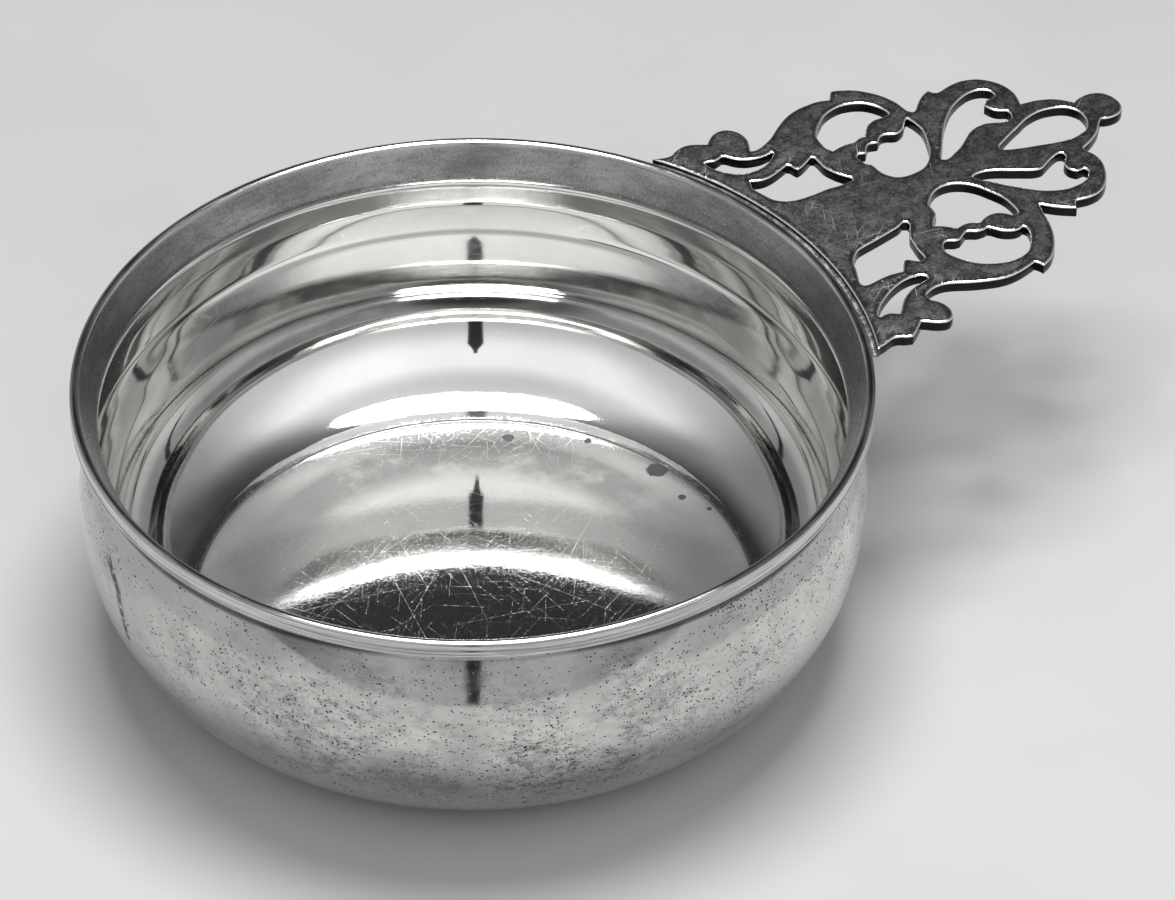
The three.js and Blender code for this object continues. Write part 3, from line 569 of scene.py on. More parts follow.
# ---------------------------------------------------------------- materials
class Nodes:
    def __init__(self, name):
        self.mat = bpy.data.materials.new(name)
        self.mat.use_nodes = True
        self.tree = self.mat.node_tree
        self.tree.nodes.clear()
        self.out = self.add("ShaderNodeOutputMaterial")
        self.bsdf = self.add("ShaderNodeBsdfPrincipled")
        self.link(self.bsdf.outputs[0], self.out.inputs[0])
        self.coord = self.add("ShaderNodeTexCoord").outputs["Object"]

    def add(self, kind, **props):
        node = self.tree.nodes.new(kind)
        for key, value in props.items():
            setattr(node, key, value)
        return node

    def link(self, a, b):
        self.tree.links.new(a, b)

    def put(self, socket, value):
        if hasattr(value, "is_linked") or hasattr(value, "links"):
            self.link(value, socket)
        else:
            socket.default_value = value

    def math(self, op, a, b=0.0, c=0.0, clamp=False):
        node = self.add("ShaderNodeMath", operation=op, use_clamp=clamp)
        for s, v in zip(node.inputs, (a, b, c)):
            self.put(s, v)
        return node.outputs[0]

    def ramp(self, value, lo, hi, out_lo=0.0, out_hi=1.0, smooth=True):
        node = self.add("ShaderNodeMapRange", interpolation_type="SMOOTHSTEP" if smooth else "LINEAR", clamp=True)
        self.put(node.inputs[0], value)
        for i, v in zip((1, 2, 3, 4), (lo, hi, out_lo, out_hi)):
            node.inputs[i].default_value = v
        return node.outputs[0]

    def mapped(self, scale=(1, 1, 1), turn=(0, 0, 0), shift=(0, 0, 0), vector=None):
        node = self.add("ShaderNodeMapping")
        self.link(vector or self.coord, node.inputs[0])
        node.inputs["Location"].default_value = shift
        node.inputs["Rotation"].default_value = [math.radians(t) for t in turn]
        node.inputs["Scale"].default_value = scale
        return node.outputs[0]

    def noise(self, scale, detail=3.0, rough=0.55, vector=None, distortion=0.0):
        node = self.add("ShaderNodeTexNoise")
        self.link(vector or self.coord, node.inputs["Vector"])
        node.inputs["Scale"].default_value = scale
        node.inputs["Detail"].default_value = detail
        node.inputs["Roughness"].default_value = rough
        node.inputs["Distortion"].default_value = distortion
        return node.outputs[0]

    def voronoi(self, scale, vector=None, feature="F1", randomness=1.0):
        node = self.add("ShaderNodeTexVoronoi", feature=feature)
        self.link(vector or self.coord, node.inputs["Vector"])
        node.inputs["Scale"].default_value = scale
        node.inputs["Randomness"].default_value = randomness
        return node.outputs["Distance"]

    def cells(self, scale, flat=1.0):
        """Distance to the nearest cell point, in cells, and two values picked at random for the cell."""
        node = self.add("ShaderNodeTexVoronoi", feature="F1")
        self.link(self.mapped(scale=(1, 1, flat)), node.inputs["Vector"])
        node.inputs["Scale"].default_value = scale
        node.inputs["Randomness"].default_value = 1.0
        split = self.add("ShaderNodeSeparateColor")
        self.link(node.outputs["Color"], split.inputs[0])
        return node.outputs["Distance"], split.outputs[0], split.outputs[1]

    def far_from(self, place):
        node = self.add("ShaderNodeVectorMath", operation="DISTANCE")
        self.link(self.coord, node.inputs[0])
        node.inputs[1].default_value = place
        return node.outputs["Value"]

    def far_from_line(self, a, b):
        a, b = Vector(a), Vector(b)
        along = b - a
        rel = self.add("ShaderNodeVectorMath", operation="SUBTRACT")
        self.link(self.coord, rel.inputs[0])
        rel.inputs[1].default_value = a
        dot = self.add("ShaderNodeVectorMath", operation="DOT_PRODUCT")
        self.link(rel.outputs[0], dot.inputs[0])
        dot.inputs[1].default_value = along / along.length_squared
        t = self.math("ADD", dot.outputs["Value"], 0.0, clamp=True)
        on = self.add("ShaderNodeVectorMath", operation="SCALE")
        on.inputs[0].default_value = along
        self.link(t, on.inputs["Scale"])
        gap = self.add("ShaderNodeVectorMath", operation="DISTANCE")
        self.link(rel.outputs[0], gap.inputs[0])
        self.link(on.outputs[0], gap.inputs[1])
        return gap.outputs["Value"]

    def attribute(self, name):
        return self.add("ShaderNodeAttribute", attribute_name=name).outputs["Fac"]

    def mix(self, factor, a, b):
        node = self.add("ShaderNodeMix", data_type="RGBA")
        self.put(node.inputs[0], factor)
        for s, v in ((node.inputs[6], a), (node.inputs[7], b)):
            if isinstance(v, (int, float)):
                v = (v, v, v * 0.985, 1.0)
            self.put(s, v)
        return node.outputs[2]

    def bump(self, height, strength, distance, normal=None):
        node = self.add("ShaderNodeBump")
        node.inputs["Strength"].default_value = strength
        node.inputs["Distance"].default_value = distance
        self.link(height, node.inputs["Height"])
        if normal is not None:
            self.link(normal, node.inputs["Normal"])
        return node.outputs[0]

    def split(self, vector):
        node = self.add("ShaderNodeSeparateXYZ")
        self.link(vector, node.inputs[0])
        return node.outputs[0], node.outputs[1], node.outputs[2]

    def dot(self, vector, way):
        node = self.add("ShaderNodeVectorMath", operation="DOT_PRODUCT")
        self.link(vector, node.inputs[0])
        node.inputs[1].default_value = way
        return node.outputs["Value"]

    def chance(self, x, y):
        """Three values picked at random for the whole numbers x, y."""
        join = self.add("ShaderNodeCombineXYZ")
        self.link(x, join.inputs[0])
        self.link(y, join.inputs[1])
        node = self.add("ShaderNodeTexWhiteNoise", noise_dimensions="2D")
        self.link(join.outputs[0], node.inputs["Vector"])
        split = self.add("ShaderNodeSeparateColor")
        self.link(node.outputs["Color"], split.inputs[0])
        return split.outputs[0], split.outputs[1], split.outputs[2]

    def scratches(self, turn, gap, length, width, share, shift=(0, 0, 0)):
        """Straight fine lines seen from above, one or none in each stretch of each strip."""
        x, y, _ = self.split(self.mapped(turn=(0, 0, turn), shift=shift))
        y = self.math("MULTIPLY", y, 1 / gap)
        row = self.math("FLOOR", y)
        across = self.math("FRACT", y)
        x = self.math("ADD", self.math("MULTIPLY", x, 1 / length), self.math("MULTIPLY", row, 0.371))
        step = self.math("FLOOR", x)
        along = self.math("FRACT", x)
        a, b, c = self.chance(step, row)
        lean = self.math("MULTIPLY", self.math("SUBTRACT", along, 0.5), self.math("MULTIPLY", self.math("SUBTRACT", b, 0.5), 0.5))
        middle = self.math("ADD", self.math("ADD", self.math("MULTIPLY", a, 0.6), 0.2), lean)
        off = self.math("ABSOLUTE", self.math("SUBTRACT", across, middle))
        line = self.ramp(off, width / gap, width / gap * 0.3)
        ends = self.ramp(self.math("ABSOLUTE", self.math("SUBTRACT", along, 0.5)), 0.48, 0.3)
        there = self.ramp(c, share + 0.01, share * 0.2)
        return self.math("MULTIPLY", self.math("MULTIPLY", line, ends), there)


# Places on the bowl in millimetres from its axis and the foot, with a radius and a weight.
PITTED = (
    (-60.9, -25.3, 29.8, 13, 0.55), (-55.0, -36.4, 25.2, 17, 0.75), (-62.5, -22.0, 36.5, 8, 0.5), (-65.1, -10.9, 28.9, 8, 0.6),
    (-43.2, -47.3, 17.0, 15, 0.55), (-27.9, -59.2, 20.4, 15, 1.0), (-31.0, -58.0, 30.0, 14, 0.5), (-16.7, -62.8, 18.3, 9, 0.8),
    (-8.8, -65.4, 28.1, 17, 0.75), (7.2, -65.5, 24.1, 11, 1.0), (13.0, -63.4, 33.0, 15, 0.75), (6.3, -63.4, 40.3, 6, 1.0),
    (14.0, -61.2, 41.0, 6, 1.0), (26.4, -57.1, 41.0, 7, 0.9), (30.2, -57.8, 34.9, 14, 0.7), (-14.4, -62.1, 40.2, 8, 0.6),
    (-64.5, 11.8, 32.9, 6, 0.7), (60.0, 26.0, 26.0, 20, 0.5), (20.0, 62.0, 20.0, 22, 0.6), (-40.0, 52.0, 27.0, 20, 0.5),
)
STREAKS = ((-64.5, 11.8, 33.5, -65.5, 7.2, 30.2, 1.1), (-65.5, 7.2, 30.2, -65.6, 5.0, 21.5, 1.2))
STAINS = ((45.3, 9.7, 1.0, 2.5), (28.9, 31.8, 1.1, 1.6), (40.0, 23.1, 1.0, 0.95), (44.5, 1.2, 1.0, 1.0), (46.6, -4.0, 1.0, 0.7))


def on_bowl(x, y, z):
    return ((BOWL_X + x) * MM, y * MM, z * MM)


def silver_bowl():
    n = Nodes("silver_bowl")
    inside = n.attribute("inside")
    rim = n.attribute("rim")
    flare = n.attribute("flare")
    upper = n.attribute("upper")
    crease = n.attribute("crease")
    worn = n.math("MULTIPLY", n.attribute("worn"), n.ramp(n.noise(130.0, detail=4.0, rough=0.65, vector=n.mapped(shift=(0.5, 0.3, 0.0))), 0.3, 0.56, 0.45, 1.0))
    outside = n.math("SUBTRACT", 1.0, n.math("MAXIMUM", inside, rim), clamp=True)
    tone = n.noise(52.0, detail=5.0, rough=0.6)
    haze = n.noise(310.0, detail=4.0, rough=0.6)

    # pits, thickest in patches
    patch = n.ramp(n.noise(48.0, detail=3.0, rough=0.6, vector=n.mapped(shift=(0.31, 0.12, 0.4))), 0.46, 0.72, 0.13, 0.5)
    for x, y, z, r, w in PITTED:
        patch = n.math("MAXIMUM", patch, n.ramp(n.far_from(on_bowl(x, y, z)), r * MM, r * 0.25 * MM, 0.0, w))
    ragged = n.ramp(n.noise(150.0, detail=3.0, rough=0.65, vector=n.mapped(scale=(1, 1, 1.8), shift=(0.9, 0.4, 0.7))), 0.34, 0.62, 0.3, 1.0)
    patch = n.math("MULTIPLY", patch, ragged)
    gone = n.math("SUBTRACT", 0.95, n.math("MULTIPLY", patch, 0.95))
    pits = None
    for cell, low, high, keep in ((0.00055, 0.20, 0.42, -0.03), (0.0009, 0.15, 0.36, 0.0), (0.0014, 0.10, 0.26, 0.05)):
        d, r0, r1 = n.cells(1 / cell, 1.3)
        near = n.math("SUBTRACT", n.math("ADD", n.math("MULTIPLY", r1, high - low), low), d)
        dot = n.math("MULTIPLY", n.ramp(near, 0.0, 0.14), n.ramp(n.math("SUBTRACT", r0, n.math("ADD", gone, keep)), 0.0, 0.04))
        pits = dot if pits is None else n.math("MAXIMUM", pits, dot)
    smear = n.ramp(n.noise(420.0, detail=5.0, rough=0.75, vector=n.mapped(scale=(1, 1, 2.0), shift=(0.2, 0.6, 0.3))), 0.43, 0.60)
    for x0, y0, z0, x1, y1, z1, w in STREAKS:
        near = n.far_from_line(on_bowl(x0, y0, z0), on_bowl(x1, y1, z1))
        pits = n.math("MAXIMUM", pits, n.math("MULTIPLY", n.ramp(near, w * 1.2 * MM, 0.3 * MM), n.ramp(n.noise(900.0, detail=3.0, rough=0.7), 0.36, 0.52)))
    pits = n.math("MULTIPLY", pits, n.math("ADD", outside, n.math("MULTIPLY", flare, 0.35), clamp=True))

    # small stains inside
    stain = None
    wobble = n.noise(900.0, detail=2.0)
    for x, y, z, r in STAINS:
        d = n.math("ADD", n.far_from(on_bowl(x, y, z)), n.math("MULTIPLY", wobble, r * 0.55 * MM))
        one = n.ramp(d, r * 1.12 * MM, r * 0.95 * MM)
        stain = one if stain is None else n.math("MAXIMUM", stain, one)
    d, r0, r1 = n.cells(1 / 0.0034)
    dot = n.math("MULTIPLY", n.ramp(n.math("SUBTRACT", n.math("ADD", n.math("MULTIPLY", r1, 0.05), 0.025), d), 0.0, 0.02), n.ramp(r0, 0.86, 0.88))
    stain = n.math("MAXIMUM", stain, n.math("MULTIPLY", dot, 0.8))
    stain = n.math("MULTIPLY", stain, inside)

    # fine wear lines on the base
    lines = None
    for turn, gap, length, width, share, weight, shift in (
        (18, 0.0050, 0.034, 0.00008, 0.40, 0.85, (0.1, 0.2, 0.0)),
        (-36, 0.0042, 0.041, 0.00008, 0.50, 0.8, (0.31, 0.12, 0.4)),
        (61, 0.0055, 0.027, 0.00008, 0.50, 0.8, (0.53, 0.22, 0.9)),
        (-9, 0.0040, 0.024, 0.00008, 0.55, 0.75, (0.77, 0.41, 1.3)),
        (105, 0.0044, 0.038, 0.00008, 0.45, 0.8, (0.27, 0.81, 1.9)),
        (-24, 0.0019, 0.010, 0.00008, 0.65, 0.75, (0.17, 0.61, 1.1)),
        (84, 0.0022, 0.009, 0.00008, 0.60, 0.75, (0.47, 0.31, 1.7)),
        (38, 0.0018, 0.011, 0.00008, 0.60, 0.7, (0.87, 0.11, 0.7)),
        (128, 0.0019, 0.008, 0.00008, 0.65, 0.7, (0.07, 0.51, 0.3)),
    ):
        one = n.math("MULTIPLY", n.scratches(turn, gap, length, width, share, shift), weight)
        lines = one if lines is None else n.math("MAXIMUM", lines, one)
    lines = n.math("MULTIPLY", lines, n.attribute("base"))

    # colour
    base = n.mix(n.ramp(tone, 0.36, 0.68), 0.86, 0.93)
    # the wall under the neck has darkened in rings
    ring = n.noise(1.0, detail=4.0, rough=0.7, vector=n.mapped(scale=(24, 24, 900)))
    base = n.mix(n.math("MULTIPLY", upper, n.ramp(ring, 0.36, 0.62, 0.1, 0.6)), base, 0.55)
    base = n.mix(n.math("MULTIPLY", worn, 0.85), base, 0.36)
    # and the lower wall inside is painted darker at both sides, towards the front: painted shade
    from_axis = n.mapped(shift=(-BOWL_X * MM, 0.0, 0.0))
    height = n.split(n.coord)[2]
    sideways = n.dot(from_axis, RIGHT)
    aside = n.math("ABSOLUTE", sideways)
    sides = n.math("MULTIPLY", n.ramp(n.dot(from_axis, FRONT), -0.048, -0.026), n.ramp(aside, 0.020, 0.040))
    sides = n.math("MULTIPLY", n.math("MULTIPLY", sides, n.ramp(height, 0.033, 0.024)), n.ramp(tone, 0.3, 0.6, 0.75, 0.95))
    # painted shade on the inner lower wall at both sides
    base = n.mix(n.math("MULTIPLY", sides, inside), base, 0.35)
    base = n.mix(n.math("MULTIPLY", crease, 0.9), base, 0.10)
    # the outer wall's tone: tarnish, with painted light and shade mixed in below
    tarnish_and_painted_light = n.mix(n.ramp(tone, 0.34, 0.66), 0.54, 0.70)
    tarnish_and_painted_light = n.mix(n.math("MULTIPLY", n.ramp(haze, 0.5, 0.72), 0.3), tarnish_and_painted_light, 0.40)
    cloud = n.noise(34.0, detail=5.0, rough=0.66, vector=n.mapped(scale=(1, 1, 1.6), shift=(0.15, 0.42, 0.88)))
    tarnish_and_painted_light = n.mix(n.ramp(cloud, 0.46, 0.66, 0.0, 0.6), tarnish_and_painted_light, 0.30)
    tarnish_and_painted_light = n.mix(n.math("MULTIPLY", smear, n.math("MULTIPLY", patch, 0.9), clamp=True), tarnish_and_painted_light, 0.15)
    # painted light: the outer wall lighter towards the foot
    tarnish_and_painted_light = n.mix(n.ramp(height, 0.017, 0.007, 0.0, 0.7), tarnish_and_painted_light, 0.80)
    # painted shade on the left of the outer wall and painted light on the right
    tarnish_and_painted_light = n.mix(n.ramp(sideways, -0.040, -0.062, 0.0, 0.6), tarnish_and_painted_light, 0.36)
    tarnish_and_painted_light = n.mix(n.ramp(sideways, 0.024, 0.052, 0.0, 0.4), tarnish_and_painted_light, 0.80)
    # painted shade along the outer neck at both sides
    neck = n.math("MULTIPLY", n.ramp(height, 0.0350, 0.0368), n.ramp(aside, 0.024, 0.037, 0.0, 0.6))
    tarnish_and_painted_light = n.mix(neck, tarnish_and_painted_light, 0.36)
    base = n.mix(outside, base, tarnish_and_painted_light)
    tarnish = n.noise(60.0, detail=5.0, rough=0.62, vector=n.mapped(scale=(1, 1, 3.0), shift=(0.7, 0.2, 0.1)))
    grain = n.noise(1.0, detail=4.0, rough=0.7, vector=n.mapped(scale=(330, 330, 1500)))
    speck = n.noise(2600.0, detail=3.0, rough=0.75)
    streak = n.noise(1.0, detail=3.0, rough=0.7, vector=n.mapped(scale=(70, 70, 3800), shift=(0.3, 0.8, 0.5)))
    dark_flare = n.mix(n.ramp(tarnish, 0.34, 0.68), 0.50, 0.27)
    dark_flare = n.mix(n.ramp(grain, 0.46, 0.7, 0.0, 0.4), dark_flare, 0.15)
    dark_flare = n.mix(n.ramp(speck, 0.52, 0.72, 0.0, 0.75), dark_flare, 0.10)
    dark_flare = n.mix(n.ramp(speck, 0.44, 0.28, 0.0, 0.4), dark_flare, 0.80)
    # painted shade: the flare darker at both sides
    dark_flare = n.mix(n.ramp(aside, 0.030, 0.062, 0.0, 0.4), dark_flare, 0.11)
    base = n.mix(flare, base, dark_flare)
    base = n.mix(n.math("MULTIPLY", rim, 0.85), base, n.mix(n.ramp(streak, 0.38, 0.62), 0.34, 0.66))
    # painted shade: a dark line under the lip band at both sides, broken up by noise
    shade_patchiness = n.ramp(n.noise(34.0, detail=3.0, rough=0.6, vector=n.mapped(shift=(0.4, 0.9, 0.2))), 0.36, 0.52, 0.45, 1.0)
    edge = n.math("MULTIPLY_ADD", n.math("MULTIPLY", aside, aside), 0.69, n.math("SUBTRACT", height, 0.0424))
    under = n.math("MULTIPLY", n.math("MULTIPLY", n.ramp(edge, -0.0004, 0.0003), outside), n.ramp(aside, 0.012, 0.030, 0.0, 0.85))
    base = n.mix(n.math("MULTIPLY", under, shade_patchiness), base, 0.05)
    # painted shade in the undercut under the lip band, deeper towards both sides
    base = n.mix(n.math("MULTIPLY", n.attribute("gutter"), n.math("MULTIPLY", shade_patchiness, n.ramp(aside, 0.006, 0.022, 0.3, 1.0))), base, 0.03)
    base = n.mix(n.math("MULTIPLY", pits, 0.95), base, 0.035)
    base = n.mix(n.math("MULTIPLY", stain, 0.95), base, 0.045)
    n.link(base, n.bsdf.inputs["Base Color"])

    # finish
    rough = n.math("ADD", n.math("MULTIPLY", outside, 0.02), 0.035)
    rough = n.math("ADD", rough, n.math("MULTIPLY", outside, n.math("MULTIPLY", patch, 0.06)))
    rough = n.math("ADD", rough, n.math("MULTIPLY", flare, n.ramp(speck, 0.35, 0.7, 0.2, 0.34)))
    rough = n.math("ADD", rough, n.math("MULTIPLY", rim, n.ramp(streak, 0.35, 0.65, 0.06, 0.14)))
    rough = n.math("ADD", rough, n.math("MULTIPLY", upper, 0.05))
    rough = n.math("ADD", rough, n.math("MULTIPLY", worn, 0.07))
    rough = n.math("ADD", rough, n.math("MULTIPLY", n.attribute("base"), n.ramp(n.noise(1900.0, detail=3.0, rough=0.7), 0.46, 0.74, 0.0, 0.14)))
    rough = n.math("ADD", rough, n.math("MULTIPLY", n.ramp(haze, 0.35, 0.8), n.math("ADD", n.math("MULTIPLY", outside, 0.05), 0.025)))
    rough = n.math("ADD", rough, n.math("MULTIPLY", lines, 0.24))
    rough = n.math("ADD", rough, n.math("MULTIPLY", n.math("MAXIMUM", pits, stain), 0.4), clamp=True)
    n.link(rough, n.bsdf.inputs["Roughness"])
    n.bsdf.inputs["Metallic"].default_value = 1.0
    # a little haze from fine wear
    n.bsdf.inputs["Coat Weight"].default_value = 0.25
    n.bsdf.inputs["Coat Roughness"].default_value = 0.3
    b = n.bump(n.math("MULTIPLY", pits, -1.0), 0.5, 0.00004)
    rubbed = n.noise(1.0, detail=4.0, rough=0.65, vector=n.mapped(scale=(55, 55, 2300), shift=(0.6, 0.1, 0.2)))
    b = n.bump(n.math("MULTIPLY", rubbed, n.attribute("lower")), 0.25, 0.00003, b)
    b = n.bump(n.math("MULTIPLY", n.noise(700.0, detail=4.0, rough=0.7), n.attribute("base")), 0.1, 0.0001, b)
    skin = n.noise(420.0, detail=3.0, rough=0.6)
    b = n.bump(n.math("MULTIPLY", skin, n.math("ADD", outside, 0.03)), 0.10, 0.00006, b)
    n.link(b, n.bsdf.inputs["Normal"])
    return n.mat


def silver_handle():
    n = Nodes("silver_handle")
    edge = n.attribute("edge")
    wall = n.attribute("wall")
    tone = n.noise(85.0, detail=5.0, rough=0.64)
    haze = n.noise(520.0, detail=4.0, rough=0.62)
    lines = None
    for turn, gap, length, width, share, shift in (
        (12, 0.0016, 0.006, 0.00008, 0.5, (0.4, 0.2, 0.0)),
        (-33, 0.0018, 0.008, 0.00008, 0.5, (0.1, 0.2, 0.4)),
        (64, 0.0017, 0.005, 0.00008, 0.5, (0.3, 0.2, 0.9)),
        (121, 0.0015, 0.006, 0.00008, 0.5, (0.7, 0.1, 1.3)),
    ):
        one = n.scratches(turn, gap, length, width, share, shift)
        lines = one if lines is None else n.math("MAXIMUM", lines, one)
    worn = n.ramp(n.noise(110.0, detail=2.0, vector=n.mapped(shift=(0.9, 1.3, 0.2))), 0.48, 0.66)
    lines = n.math("MULTIPLY", lines, worn)
    grain = n.noise(2300.0, detail=2.0, rough=0.7)
    base = n.mix(n.ramp(tone, 0.34, 0.68), 0.30, 0.48)
    base = n.mix(n.ramp(haze, 0.50, 0.72, 0.0, 0.45), base, 0.22)
    base = n.mix(n.ramp(grain, 0.52, 0.68, 0.0, 0.5), base, 0.18)
    x, _, _ = n.split(n.coord)
    base = n.mix(n.ramp(x, 0.028, 0.098, 0.0, 0.7), base, 0.17)
    # the side walls near black: partly tarnish, partly painted shade
    base = n.mix(wall, base, 0.02)
    base = n.mix(edge, base, 0.93)
    n.link(base, n.bsdf.inputs["Base Color"])
    rough = n.math("ADD", n.ramp(haze, 0.35, 0.75, 0.24, 0.34), n.math("MULTIPLY", lines, 0.22))
    rough = n.math("ADD", rough, n.math("MULTIPLY", n.ramp(grain, 0.4, 0.65), 0.08))
    rough = n.math("SUBTRACT", rough, n.math("MULTIPLY", edge, 0.16), clamp=True)
    n.link(rough, n.bsdf.inputs["Roughness"])
    n.bsdf.inputs["Metallic"].default_value = 1.0
    b = n.bump(n.math("MULTIPLY", lines, -1.0), 0.25, 0.00002)
    b = n.bump(n.noise(160.0, detail=2.0, rough=0.5), 0.08, 0.0004, b)
    n.link(b, n.bsdf.inputs["Normal"])
    return n.mat


def solder_grey():
    n = Nodes("solder_grey")
    tone = n.noise(900.0, detail=4.0, rough=0.65)
    n.link(n.mix(n.ramp(tone, 0.35, 0.7), 0.16, 0.42), n.bsdf.inputs["Base Color"])
    n.link(n.ramp(tone, 0.3, 0.75, 0.36, 0.6), n.bsdf.inputs["Roughness"])
    n.bsdf.inputs["Metallic"].default_value = 1.0
    n.link(n.bump(n.noise(1500.0, detail=3.0), 0.35, 0.0001), n.bsdf.inputs["Normal"])
    return n.mat


def paper():
    n = Nodes("paper")
    v = n.noise(9.0, detail=4.0)
    toward = n.add("ShaderNodeVectorMath", operation="DOT_PRODUCT")
    n.link(n.coord, toward.inputs[0])
    toward.inputs[1].default_value = FRONT
    pale = n.mix(n.ramp(v, 0.3, 0.7), 0.0, 0.03)
    # painted light: the sheet brighter towards the front
    shade = n.mix(n.ramp(toward.outputs["Value"], -0.18, 0.11), 0.366, 0.482)
    both = n.add("ShaderNodeMix", data_type="RGBA", blend_type="ADD")
    both.inputs[0].default_value = 1.0
    n.link(shade, both.inputs[6])
    n.link(pale, both.inputs[7])
    n.link(both.outputs[2], n.bsdf.inputs["Base Color"])
    n.bsdf.inputs["Roughness"].default_value = 0.9
    n.bsdf.inputs["Specular IOR Level"].default_value = 0.1
    return n.mat


# ---------------------------------------------------------------- pieces
bowl = make_bowl()
handle = make_handle()
seam = make_seam()
for piece, node, slot, look in (
    (bowl, "bowl", "bowl_silver", silver_bowl()),
    (handle, "handle", "handle_silver", silver_handle()),
    (seam, "solder_seam", "solder", solder_grey()),
):
    piece.data.materials.append(look)
    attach(piece, "root")
    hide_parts(node)

# ---------------------------------------------------------------- stage
# A pale sheet that ends a hand's width in front of the bowl and somewhat further off at the sides.
SHEET_FRONT, SHEET_BACK, SHEET_LEFT, SHEET_RIGHT = 0.18, 1.6, 0.27, 0.45
corners = []
for along, across in ((SHEET_FRONT, -SHEET_LEFT), (SHEET_FRONT, SHEET_RIGHT), (-SHEET_BACK, SHEET_RIGHT), (-SHEET_BACK, -SHEET_LEFT)):
    corners.append((BOWL_X * MM + FRONT[0] * along + RIGHT[0] * across, FRONT[1] * along + RIGHT[1] * across, -0.00005))
floor = new_object("floor", corners, [(0, 1, 2, 3)])
floor.data.materials.append(paper())


def softbox(name, along, across, height, deep, wide, watts):
    """An area light facing straight down; along is towards the front, across to the right."""
    data = bpy.data.lights.new(name, "AREA")
    data.shape = "ELLIPSE"
    data.size = wide
    data.size_y = deep
    data.energy = watts
    obj = bpy.data.objects.new(name, data)
    bpy.context.scene.collection.objects.link(obj)
    obj.location = (BOWL_X * MM + FRONT[0] * along + RIGHT[0] * across, FRONT[1] * along + RIGHT[1] * across, height)
    obj.rotation_euler = (0.0, 0.0, math.radians(VIEW_TURN))
    return obj


softbox("overhead_softbox", -0.175, 0.03, 1.0, 0.43, 0.56, 12.0)


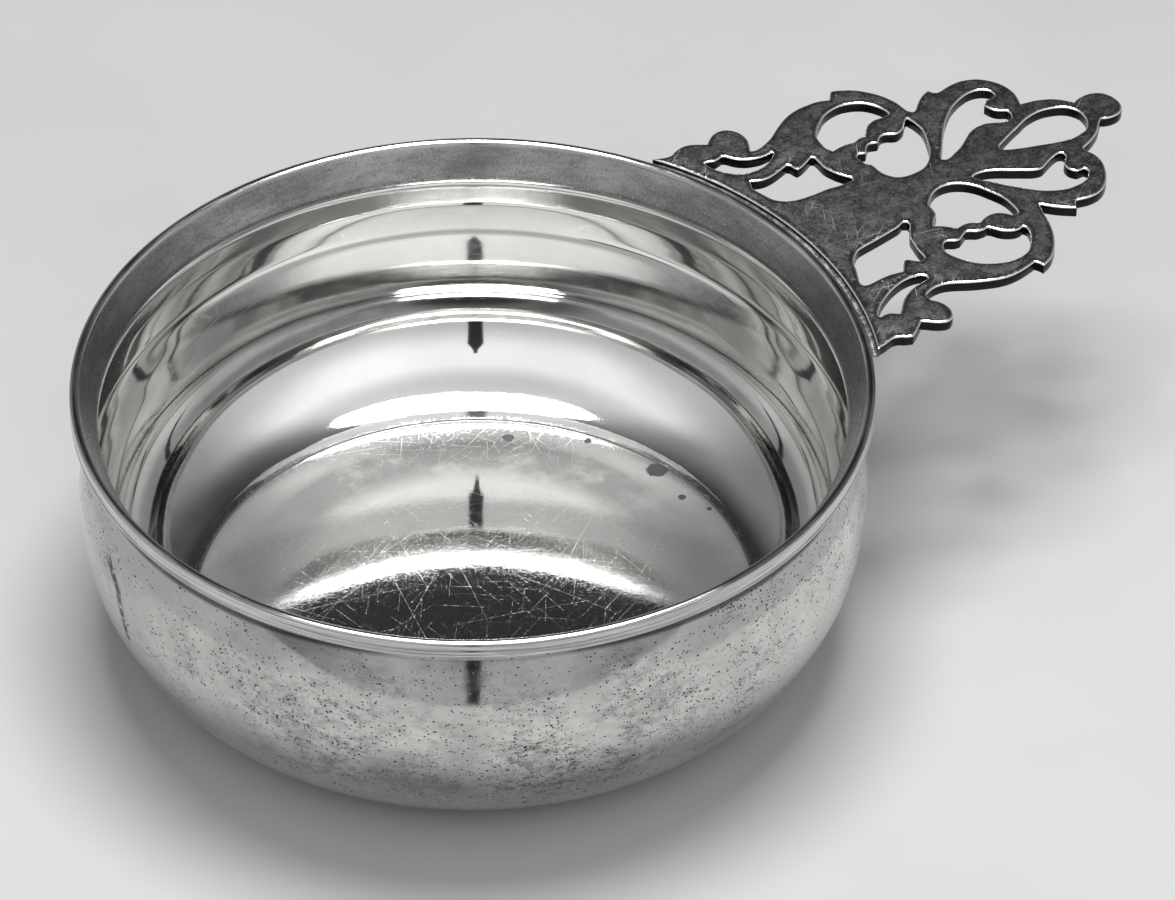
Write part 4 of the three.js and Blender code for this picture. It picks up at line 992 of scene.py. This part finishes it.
def make_world():
    """Pale walls in front and at the sides, brightest at mid height, and a dark space behind."""
    world = bpy.data.worlds.new("studio")
    bpy.context.scene.world = world
    world.use_nodes = True
    t = world.node_tree
    t.nodes.clear()
    out = t.nodes.new("ShaderNodeOutputWorld")
    back = t.nodes.new("ShaderNodeBackground")
    t.links.new(back.outputs[0], out.inputs[0])
    coord = t.nodes.new("ShaderNodeTexCoord").outputs["Generated"]

    def toward(v):
        dot = t.nodes.new("ShaderNodeVectorMath")
        dot.operation = "DOT_PRODUCT"
        t.links.new(coord, dot.inputs[0])
        dot.inputs[1].default_value = v
        return dot.outputs["Value"]

    def ramp(v, lo, hi, a=0.0, b=1.0):
        r = t.nodes.new("ShaderNodeMapRange")
        r.interpolation_type = "SMOOTHSTEP"
        t.links.new(v, r.inputs[0])
        for i, value in zip((1, 2, 3, 4), (lo, hi, a, b)):
            r.inputs[i].default_value = value
        return r.outputs[0]

    def calc(op, a, b):
        m = t.nodes.new("ShaderNodeMath")
        m.operation = op
        for socket, value in zip(m.inputs, (a, b)):
            if hasattr(value, "is_linked"):
                t.links.new(value, socket)
            else:
                socket.default_value = value
        return m.outputs[0]

    def both(*values):
        v = values[0]
        for w in values[1:]:
            v = calc("MULTIPLY", v, w)
        return v

    def cone(turn, el, inner, outer):
        a, e = math.radians(turn + VIEW_TURN), math.radians(el)
        v = toward((math.cos(a) * math.cos(e), math.sin(a) * math.cos(e), math.sin(e)))
        return ramp(v, math.cos(math.radians(outer)), math.cos(math.radians(inner)))

    sin = lambda d: math.sin(math.radians(d))
    front, right, up = toward(FRONT), toward(RIGHT), toward((0, 0, 1))
    ahead = ramp(front, -0.25, 0.12)
    side = calc("ABSOLUTE", right, 0.0)
    level = ramp(right, -0.75, 0.85, 0.46, 0.52)
    # a bright band round the front half, at mid height
    shelf = both(ramp(up, sin(16), sin(42)), ramp(up, sin(72), sin(52), 0.25, 1.0), ahead, ramp(side, 0.88, 0.5, 0.15, 1.0))
    level = both(level, calc("ADD", calc("MULTIPLY", shelf, 0.90), 1.0))
    # behind: dim above the sheet, and nearly black in the middle
    dim = cone(82, 34, 26, 52)
    level = both(level, calc("SUBTRACT", 1.0, calc("MULTIPLY", dim, 0.74)))
    dark = cone(90, 39, 12, 30)
    level = both(level, calc("SUBTRACT", 1.0, calc("MULTIPLY", dark, 0.82)))
    # the ceiling away from the bright wall
    high = both(ramp(up, sin(42), sin(62)), ramp(front, 0.05, -0.3))
    level = both(level, calc("SUBTRACT", 1.0, calc("MULTIPLY", high, 0.5)))
    # below the edge of the sheet
    level = both(level, ramp(up, sin(-21), sin(-14), 0.6, 1.08))
    low = both(ramp(up, sin(3), sin(-4)), ramp(side, 0.35, 0.8))
    level = both(level, calc("SUBTRACT", 1.0, calc("MULTIPLY", low, 0.4)))
    # a slim stand in front, drawn to a point at the top
    from_middle = calc("ABSOLUTE", calc("ADD", right, 0.014), 0.0)
    slim = calc("DIVIDE", from_middle, both(ramp(up, sin(35), sin(43), 1.0, 0.23), ramp(up, sin(-21), sin(-3), 0.026, 0.036)))
    stand = both(ramp(slim, 1.08, 0.95), ramp(front, 0.3, 0.4), ramp(up, sin(45.5), sin(43.5)))
    level = both(level, calc("SUBTRACT", 1.0, calc("MULTIPLY", stand, 0.97)))
    t.links.new(level, back.inputs["Color"])
    back.inputs["Strength"].default_value = 1.0


make_world()

# ---------------------------------------------------------------- camera
def make_camera():
    focal, az, el, roll, dist, u0, v0 = 6043.0, -34.13, 38.94, -0.58, 1000.0, 472.9, 377.4
    a, e, ro = math.radians(az), math.radians(el), math.radians(roll)
    back = Vector((math.sin(a) * math.cos(e), -math.cos(a) * math.cos(e), math.sin(e)))
    right = Vector((math.cos(a), math.sin(a), 0.0))
    up = back.cross(right)
    right, up = math.cos(ro) * right + math.sin(ro) * up, -math.sin(ro) * right + math.cos(ro) * up
    forward = -back
    th = math.atan((u0 - 587.5) / focal)
    r1 = right * math.cos(th) + forward * math.sin(th)
    f1 = forward * math.cos(th) - right * math.sin(th)
    ph = math.atan(-(v0 - 450.0) / focal * math.cos(th))
    u1 = up * math.cos(ph) + f1 * math.sin(ph)
    f2 = f1 * math.cos(ph) - up * math.sin(ph)
    at = back * dist + Vector((BOWL_X, 0.0, HEIGHT))
    data = bpy.data.cameras.new("camera")
    data.sensor_fit = "HORIZONTAL"
    data.sensor_width = 36.0
    data.lens = focal / 1175.0 * 36.0
    data.clip_start, data.clip_end = 0.01, 20.0
    obj = bpy.data.objects.new("camera", data)
    bpy.context.scene.collection.objects.link(obj)
    m = Matrix((r1, u1, -f2)).transposed().to_4x4()
    m.translation = at * MM
    obj.matrix_world = m
    bpy.context.scene.camera = obj


make_camera()
bpy.context.scene.view_settings.view_transform = "Standard"
